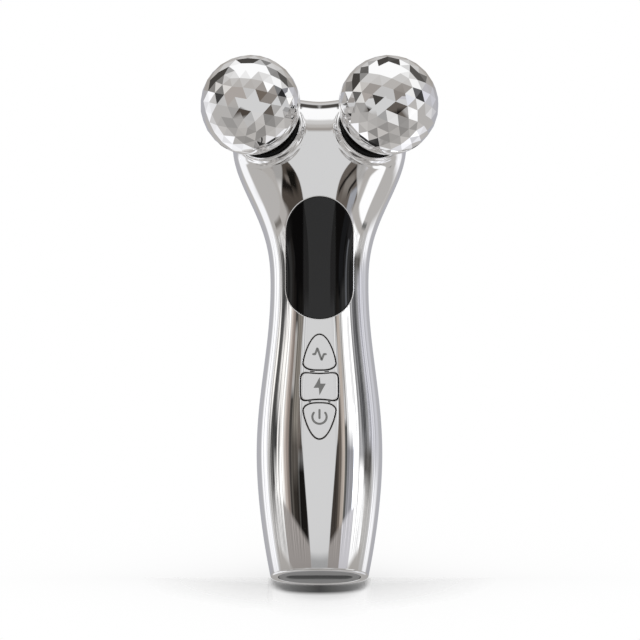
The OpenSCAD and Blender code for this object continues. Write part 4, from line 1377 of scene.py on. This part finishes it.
# Light and dark patches of the floor: how fine and how deep
PATCH_SCALE, PATCH_DEPTH = 5.5, 2.4
# Heights of the streaks' foot and top and of the patches' top, each with the width of its ramp
WALL_FOOT, WALL_TOP, PATCH_TOP = (-1.5, 2), (24, 5), (-29, 10)


def band(shader, value, low, high, soft, widening=None):
    """1 between two values and 0 outside them, with a straight ramp of the given width about each; both
    edges move outwards by the widening."""
    beyond = (value - (low + high) / 2).math("ABSOLUTE")
    if widening:
        beyond = beyond - widening
    half = (high - low) / 2
    return shader.node(
        "MapRange", Value=beyond, From_Min=half + soft / 2, From_Max=half - soft / 2, To_Min=0, To_Max=1
    )


def painted(shader, seen, turn, height, panels):
    """A colour with soft-edged panels painted over it, placed by turn and height."""
    for left, right, low, high, soft, shade, *shape in panels:
        lean, bow = (*shape, 0, 0)[:2]
        level = height - turn.math("ABSOLUTE") * (bow / 60) if bow else height
        mask = band(shader, level, low, high, soft)
        if right - left < 360:
            mask = mask * band(shader, turn, left, right, soft, height * lean if lean else None)
        seen = shader.mix(mask, seen, (*shade, 1))
    return seen


def studio_world(studio):
    """World shader: white to the camera, even light for shading, and the studio's panels for bright metal."""
    world = bpy.data.worlds.new("studio")
    bpy.context.scene.world = world
    world.use_nodes = True
    shader = Shader(world.node_tree)
    ray = shader.node("TexCoord", output=0)
    x, y, z = shader.axes(ray)
    turn = x.math("ARCTAN2", y * -1) * DEGREES
    height = z.math("ARCSINE") * DEGREES
    around = turn.math("ABSOLUTE")
    seen = shader.mix(((around - BACK_TURN) / BACK_RAMP).clamped(), FRONT_WALL, BACK_WALL)
    seen = painted(shader, seen, turn, height, PANELS)
    streak = shader.noise(
        1.0, detail=3, roughness=0.6,
        place=shader.node("CombineXYZ", X=turn * STREAKS[0], Y=height * STREAKS[1], Z=0.0),
    )
    depth = (band(shader, around, *ALL_ROUND, STREAK_SOFT) * ALL_ROUND_DEPTH
             + band(shader, around, *TO_THE_SIDES, STREAK_SOFT) * SIDE_DEPTH)
    walls = height.soft_step(*WALL_FOOT) * (1 - height.soft_step(*WALL_TOP))
    uneven = ((streak - 0.5) * depth * walls + 1).math("MAXIMUM", LEAST_LIGHT)
    patches = shader.noise(PATCH_SCALE, detail=2, place=ray) - 0.5
    uneven = uneven + patches * (1 - height.soft_step(*PATCH_TOP)) * PATCH_DEPTH
    seen = shader.node("VectorMath", {"operation": "SCALE"}, Vector=seen, Scale=uneven)
    panels = shader.node("Background", Color=seen, Strength=1.0)
    even = shader.node("Background", Color=WHITE, Strength=studio.world_light)
    white = shader.node("Background", Color=WHITE, Strength=1.0)
    lit = shader.blend(shader.light_path("Is Glossy Ray"), even, panels)
    shader.show(shader.blend(shader.light_path("Is Camera Ray"), lit, white), "World")


# Shade on the underside of the floor: its depth close under the foot, and how fast it wears off sideways
# and to the front and back
SHADE, SHADE_ACROSS, SHADE_ALONG = 0.25, 32 * MM, 24 * MM
# The floor lies just under the foot. Its rings, its cloudiness, how much it glows near and far, and the
# distance at which it passes from one to the other, with the width of that ramp
FLOOR_LEVEL = -0.2 * MM
FLOOR_RINGS = (0.001 * MM, 0.05, 0.2, 0.6, 1.2)
CLOUDS, NEAR_GLOW, FAR_GLOW, FLOOR_FADE = 3, 0.1, 0.95, (0.9, 1.2)


def floor_material(studio):
    """Pale floor with faint cloudiness, fading to white far out. From below it is clear, with a soft shade
    round the foot: e to the power of minus the distances across and along over their reaches."""
    material, shader = new_material("pale_floor")
    place = shader.place()
    across, along, _ = (axis.math("ABSOLUTE") for axis in shader.axes(place))
    shade = (across * (-1 / SHADE_ACROSS) - along * (1 / SHADE_ALONG)).math("EXPONENT") * SHADE
    distance = shader.node("VectorMath", {"operation": "LENGTH"}, output=1, i0=place)
    fade = distance.soft_step(*FLOOR_FADE) * (FAR_GLOW - NEAR_GLOW) + NEAR_GLOW
    cloud = shader.noise(CLOUDS, detail=2, place=place)
    tint = shader.mix(cloud, (*studio.floor, 1), (*(0.985 * c for c in studio.floor), 1))
    pale = shader.blend(fade, shader.node("BsdfDiffuse", Color=tint), shader.glow())
    dark = shader.node("BsdfTransparent", Color=(0, 0, 0, 1))
    underside = shader.blend(shade, shader.node("BsdfTransparent"), dark)
    shader.show(shader.blend(shader.backface(), pale, underside))
    return material


# Sheet that catches the foot's shadow: its slope, its half width, how far it runs to the front, how far its
# top edge lies inside the foot's rear edge and how far below the foot
APRON_SLOPE = math.tan(math.radians(23))
APRON_SIDE, APRON_RUN, APRON_INSET, APRON_CLEARANCE = 90 * MM, 100 * MM, 0.5 * MM, 0.01 * MM
# Sideways and downward reach of the shadow on it, and the depth over which its top edge fades in
APRON_REACH, APRON_DROP, APRON_TOP = 58 * MM, 20 * MM, 5 * MM
# Share of that reach round which it fades out, and the width of the ramp
APRON_FADE = (0.6, 0.7)
# Sideways and downward reach of the painted shadow's dark core, the softness of its edges, the core's painted
# shadow colour and the sheet's own colour, and how much of the sheet glows below the core as painted light
CORE_REACH, CORE_DROP, CORE_SOFT = 14 * MM, 5 * MM, 2 * MM
PAINTED_SHADOW_COLOUR, SHADOW_COLOUR, PAINTED_GLOW = (0.27, 0.27, 0.27, 1), (0.80, 0.80, 0.80, 1), 0.6


def apron_material(s):
    """Sheet under the foot that catches its soft shadow, with painted shadow in its colour that is darkest
    close under the foot's middle, and painted light where it partly glows below that core. It fades out to
    the sides and downwards, and beside the foot upwards too."""
    material, shader = new_material("apron")
    across, _, up = shader.axes(shader.place())
    beside, below = across.math("ABSOLUTE"), up * -1
    wide, deep = beside / APRON_REACH, below / APRON_DROP
    faded = (wide * wide + deep * deep).math("SQRT").soft_step(*APRON_FADE)
    outside = beside.soft_step(s.base_width / 2, CORE_SOFT)
    under_core = below.soft_step(CORE_DROP, CORE_SOFT)
    top = (1 - below.soft_step(APRON_TOP / 2, APRON_TOP)) * outside
    # Painted shadow: a darker colour close under the foot's middle
    painted_core = (1 - beside / CORE_REACH).clamped() * (1 - under_core)
    surface = shader.node("BsdfDiffuse", Color=shader.mix(painted_core, SHADOW_COLOUR, PAINTED_SHADOW_COLOUR))
    # Painted light: below the core the sheet partly glows
    pale = shader.blend(under_core * (1 - outside) * PAINTED_GLOW, surface, shader.glow())
    hidden = faded.math("MAXIMUM", top).math("MAXIMUM", shader.backface())
    shader.show(shader.blend(hidden, pale, shader.node("BsdfTransparent")))
    return material


def apron_points(s):
    """Sheet that leaves the rear edge of the foot and falls away under it towards the front: for each
    sideways place the rear edge of the foot's section, and from there down with a steady slope."""
    x = np.linspace(-APRON_SIDE, APRON_SIDE, 181)
    rear = -front_y(x, 0.0, 0.0, s)
    run = np.linspace(0, 1, 60)[:, None] ** 2 * APRON_RUN
    y = rear[None] - APRON_INSET - run
    z = -APRON_CLEARANCE - APRON_SLOPE * run * np.ones_like(x)[None]
    return np.stack([np.broadcast_to(x, y.shape), y, z], -1)


# Bent reflector card in front of the two balls: its distance from the point between them, how far it goes
# round to each side in degrees, and its lower and upper edge
CARD_DISTANCE, CARD_LEFT, CARD_RIGHT = 110 * MM, -58, 52
CARD_LOW, CARD_HIGH = 141 * MM, 205 * MM
# Notch in the card's lower edge, through which the head's flat front sees the grey card behind
NOTCH_HEIGHT, NOTCH_TURN, NOTCH_SOFT = 31 * MM, 15, 4
# Painted card between the reflector card and the device: its distance, how far it goes round to each side in
# degrees, its lower and upper edge, and how soft its edges are in degrees and in height
PAINT_DISTANCE, PAINT_TURN, PAINT_LOW, PAINT_HIGH, PAINT_SOFT = 70 * MM, 62, 107 * MM, 141 * MM, 4
# Half turn of its pale middle at its foot and how far that widens upwards, and the same for the pale ends,
# which close in upwards: heights in millimetres, turns in degrees
PALE_MIDDLE = (22, 115, 16, 14.5)
PALE_ENDS = (45, 127, 15, 11)
# How far a swirl shifts the smears, as a turn and as a height, and how strongly it marks the pale ends
SWIRL_TURN, SWIRL_HEIGHT, SWIRL_TINT = 6, 5, 1.6
# Height above which the pale ends darken, with the width of that ramp
ENDS_SHADE = (113, 9)
# How far inside its foot and its top the card fades out, each with the width of its ramp
FOOT_FADE, TOP_FADE = (1, 2), (8, 4)
# Colours of the pale middle, of the dark part to the left and to the right, and of the ends above and below
MIDDLE_COLOUR = (0.675, 0.675, 0.675, 1)
DARK_LEFT, DARK_RIGHT = (0.075, 0.062, 0.052, 1), (0.13, 0.112, 0.098, 1)
ENDS_HIGH, ENDS_LOW = (0.38, 0.37, 0.36, 1), (0.80, 0.785, 0.77, 1)
# Smears on its dark part, as panels with their heights in millimetres
SMEARS = [
    (-58, -37, 113.5, 118.5, 2.5, (0.012, 0.010, 0.009)),
    (-39, -28, 116, 126, 3.5, (0.008, 0.007, 0.006)),
    (-44, -38, 117, 121, 2, (0.16, 0.14, 0.125)),
    (31, 46, 114, 121, 3, (0.22, 0.20, 0.18)),
    (24, 49, 102.4, 104.8, 1.6, (0.012, 0.010, 0.009), 0, 30),
    (40, 53, 96.7, 98.9, 1.3, (0.014, 0.012, 0.011), 0, 24),
    (45, 57, 108, 113.5, 2, (0.34, 0.35, 0.38)),
]


def card_points(distance, low, high, degrees, s):
    """Part of an upright cylinder about the point between the balls: sine and cosine of the turn times the
    distance, and even steps of height between two edges."""
    turn = np.radians(degrees)
    share = np.linspace(0, 1, 8)[:, None]
    z = low * (1 - share) + high * share + np.zeros_like(turn)
    x = distance * np.sin(turn) * np.ones_like(z)
    y = (-distance * np.cos(turn) - s.roller_reach) * np.ones_like(z)
    return np.stack([x, y, z], -1)


def paint_material(s):
    """Painted card that glows as it would in soft light: pale in the middle and at its ends, with dark smears
    between them. It fades out at its sides, its foot and, but for its middle, its top."""
    material, shader = new_material("painted_card")
    x, y, z = shader.axes(shader.place())
    swirl = shader.noise(55, detail=2) - 0.5
    turn = x.math("ARCTAN2", y * -1 - s.roller_reach) * DEGREES
    height = z * (1 / MM)
    around = turn.math("ABSOLUTE")
    middle_turn, middle_foot, middle_rise, middle_spread = PALE_MIDDLE
    rise = (height - middle_foot).math("MAXIMUM", 0) / middle_rise
    middle = 1 - (around - rise * rise * middle_spread).soft_step(middle_turn, 1.4)
    ends_turn, ends_top, ends_fall, ends_spread = PALE_ENDS
    fall = (ends_top - height).math("MAXIMUM", 0) / ends_fall
    ends = (around - fall * fall * ends_spread).soft_step(ends_turn, 2)
    dark = shader.mix(turn.soft_step(0, 1), DARK_LEFT, DARK_RIGHT)
    dark = painted(shader, dark, turn + swirl * SWIRL_TURN, height + swirl * SWIRL_HEIGHT, SMEARS)
    lightness = (1 - height.soft_step(*ENDS_SHADE)) + swirl * SWIRL_TINT
    leaf = shader.mix(lightness.clamped(), ENDS_HIGH, ENDS_LOW)
    tint = shader.mix(middle, shader.mix(ends, dark, leaf), MIDDLE_COLOUR)
    kept = 1 - around.soft_step(PAINT_TURN - PAINT_SOFT / 2, PAINT_SOFT)
    kept = kept * height.soft_step(PAINT_LOW / MM + FOOT_FADE[0], FOOT_FADE[1])
    below_top = 1 - height.soft_step(PAINT_HIGH / MM - TOP_FADE[0], TOP_FADE[1])
    kept = kept * below_top.math("MAXIMUM", middle)
    shader.show(shader.blend(kept, shader.node("BsdfTransparent"), shader.glow(tint)))
    return material


# How far the reflector card's clouds shift its colours, where its left, its right and its top begin, and how
# softly they do
CARD_CLOUD, LEFT_EDGE, RIGHT_EDGE, TOP_EDGE = 12 * MM, -34 * MM, 42 * MM, CARD_HIGH - 22 * MM
CARD_SOFT = 6 * MM
CARD_MIDDLE, CARD_BEIGE = (0.58, 0.575, 0.57, 1), (0.43, 0.395, 0.37, 1)
CARD_BROWN, CARD_TOP = (0.27, 0.245, 0.225, 1), (0.36, 0.335, 0.315, 1)


def card_material():
    """Reflector card that glows as it would in soft light: beige to the left, pale in the middle and brown
    to the right, and beige along its top."""
    material, shader = new_material("reflector_card")
    x, _, z = shader.axes(shader.place())
    shifted = x + shader.noise(24, detail=3) * CARD_CLOUD
    tint = shader.mix(1 - shifted.soft_step(LEFT_EDGE, CARD_SOFT), CARD_MIDDLE, CARD_BEIGE)
    tint = shader.mix(shifted.soft_step(RIGHT_EDGE, CARD_SOFT), tint, CARD_BROWN)
    tint = shader.mix(z.soft_step(TOP_EDGE, CARD_SOFT), tint, CARD_TOP)
    shader.show(shader.glow(tint))
    return material


def stage_piece(name, surface, material, reflected=False):
    """Stage mesh that only the camera sees, or only reflections."""
    mesh = bpy.data.meshes.new(name)
    quads = surface.loops.reshape(-1, 4)
    mesh.from_pydata(surface.points, [], quads.tolist())
    mesh.materials.append(material)
    mesh.update()
    piece = bpy.data.objects.new(name, mesh)
    bpy.context.scene.collection.objects.link(piece)
    piece.visible_camera = not reflected
    piece.visible_glossy = reflected
    piece.visible_diffuse = False
    piece.visible_shadow = False
    piece.visible_transmission = False


# Diameter, power and place of the soft lamp and the point it looks at, and the width of the camera's sensor
LAMP_SIZE, LAMP_POWER, LAMP_PLACE, LAMP_AIM = 0.9, 4.0, (-0.55, -0.75, 1.1), (0, 0, 0.08)
SENSOR = 36


def aimed(name, data, place, way):
    """Lamp or camera at a place, turned to look along a way."""
    thing = bpy.data.objects.new(name, data)
    thing.location = place
    thing.rotation_euler = way.to_track_quat("-Z", "Y").to_euler()
    bpy.context.scene.collection.objects.link(thing)
    return thing


class TONING_OT_stage(ToningPiece, Operator):
    """Floor, the sheet under the foot, the two cards, the world, a soft lamp and the camera"""

    bl_idname = "toning.stage"
    bl_label = "Stage"

    def execute(self, context):
        s, studio = self.sizes, context.scene.toning_studio
        radii = np.array([*FLOOR_RINGS, studio.floor_radius])[:, None]
        level = np.full((len(radii), len(AROUND)), FLOOR_LEVEL)
        rings = np.stack([radii * np.cos(AROUND), radii * np.sin(AROUND), level], -1)
        stage_piece("floor", sheet(rings, closed=True, flip=True), floor_material(studio))
        stage_piece("apron", sheet(apron_points(s), flip=True), apron_material(s))
        degrees = np.linspace(CARD_LEFT, CARD_RIGHT, 111)
        notch = np.clip((NOTCH_TURN + NOTCH_SOFT / 2 - np.abs(degrees)) / NOTCH_SOFT, 0, 1)
        low = CARD_LOW + NOTCH_HEIGHT * notch
        reflector = card_points(CARD_DISTANCE, low, CARD_HIGH, degrees, s)
        degrees = np.linspace(-PAINT_TURN, PAINT_TURN, 125)
        paint = card_points(PAINT_DISTANCE, PAINT_LOW, PAINT_HIGH, degrees, s)
        stage_piece("reflector_card", sheet(reflector), card_material(), reflected=True)
        stage_piece("painted_card", sheet(paint), paint_material(s), reflected=True)
        studio_world(studio)
        lamp = bpy.data.lights.new("key", "AREA")
        lamp.shape = "DISK"
        lamp.size = LAMP_SIZE
        lamp.energy = LAMP_POWER
        key = aimed("key", lamp, LAMP_PLACE, Vector(LAMP_AIM) - Vector(LAMP_PLACE))
        key.visible_glossy = False
        lens = bpy.data.cameras.new("camera")
        lens.sensor_width = SENSOR
        lens.lens = SENSOR * studio.camera_distance / studio.frame_width
        lens.clip_end = 20
        aim = Vector((studio.aim_side, 0, studio.aim_height))
        away = Vector((0, -math.cos(studio.camera_pitch), -math.sin(studio.camera_pitch)))
        context.scene.camera = aimed("camera", lens, aim + away * studio.camera_distance, -away)
        context.scene.view_settings.view_transform = "Standard"
        return {"FINISHED"}


class TONING_PT_panel(Panel):
    """Lists the pieces of the toning device"""

    bl_idname = "TONING_PT_panel"
    bl_label = "Facial toning device"
    bl_space_type = "VIEW_3D"
    bl_region_type = "UI"
    bl_category = "Toning"

    def draw(self, context):
        for operator in OPERATORS:
            self.layout.operator(operator.bl_idname)


OPERATORS = (
    TONING_OT_stage,
    TONING_OT_front_shell,
    TONING_OT_rear_shell,
    TONING_OT_window,
    TONING_OT_buttons,
    TONING_OT_rollers,
    TONING_OT_collars,
    TONING_OT_foot,
    TONING_OT_inner_parts,
)
CLASSES = (ToningSizes, ToningFinishes, ToningStudio, *OPERATORS, TONING_PT_panel)


def register():
    for cls in CLASSES:
        bpy.utils.register_class(cls)
    bpy.types.Scene.toning_sizes = PointerProperty(type=ToningSizes)
    bpy.types.Scene.toning_finishes = PointerProperty(type=ToningFinishes)
    bpy.types.Scene.toning_studio = PointerProperty(type=ToningStudio)


def unregister():
    del bpy.types.Scene.toning_studio
    del bpy.types.Scene.toning_finishes
    del bpy.types.Scene.toning_sizes
    for cls in reversed(CLASSES):
        bpy.utils.unregister_class(cls)


def main():
    """Builds every piece."""
    register()
    for operator in OPERATORS:
        module, name = operator.bl_idname.split(".")
        getattr(getattr(bpy.ops, module), name)()


if __name__ == "__main__":
    main()
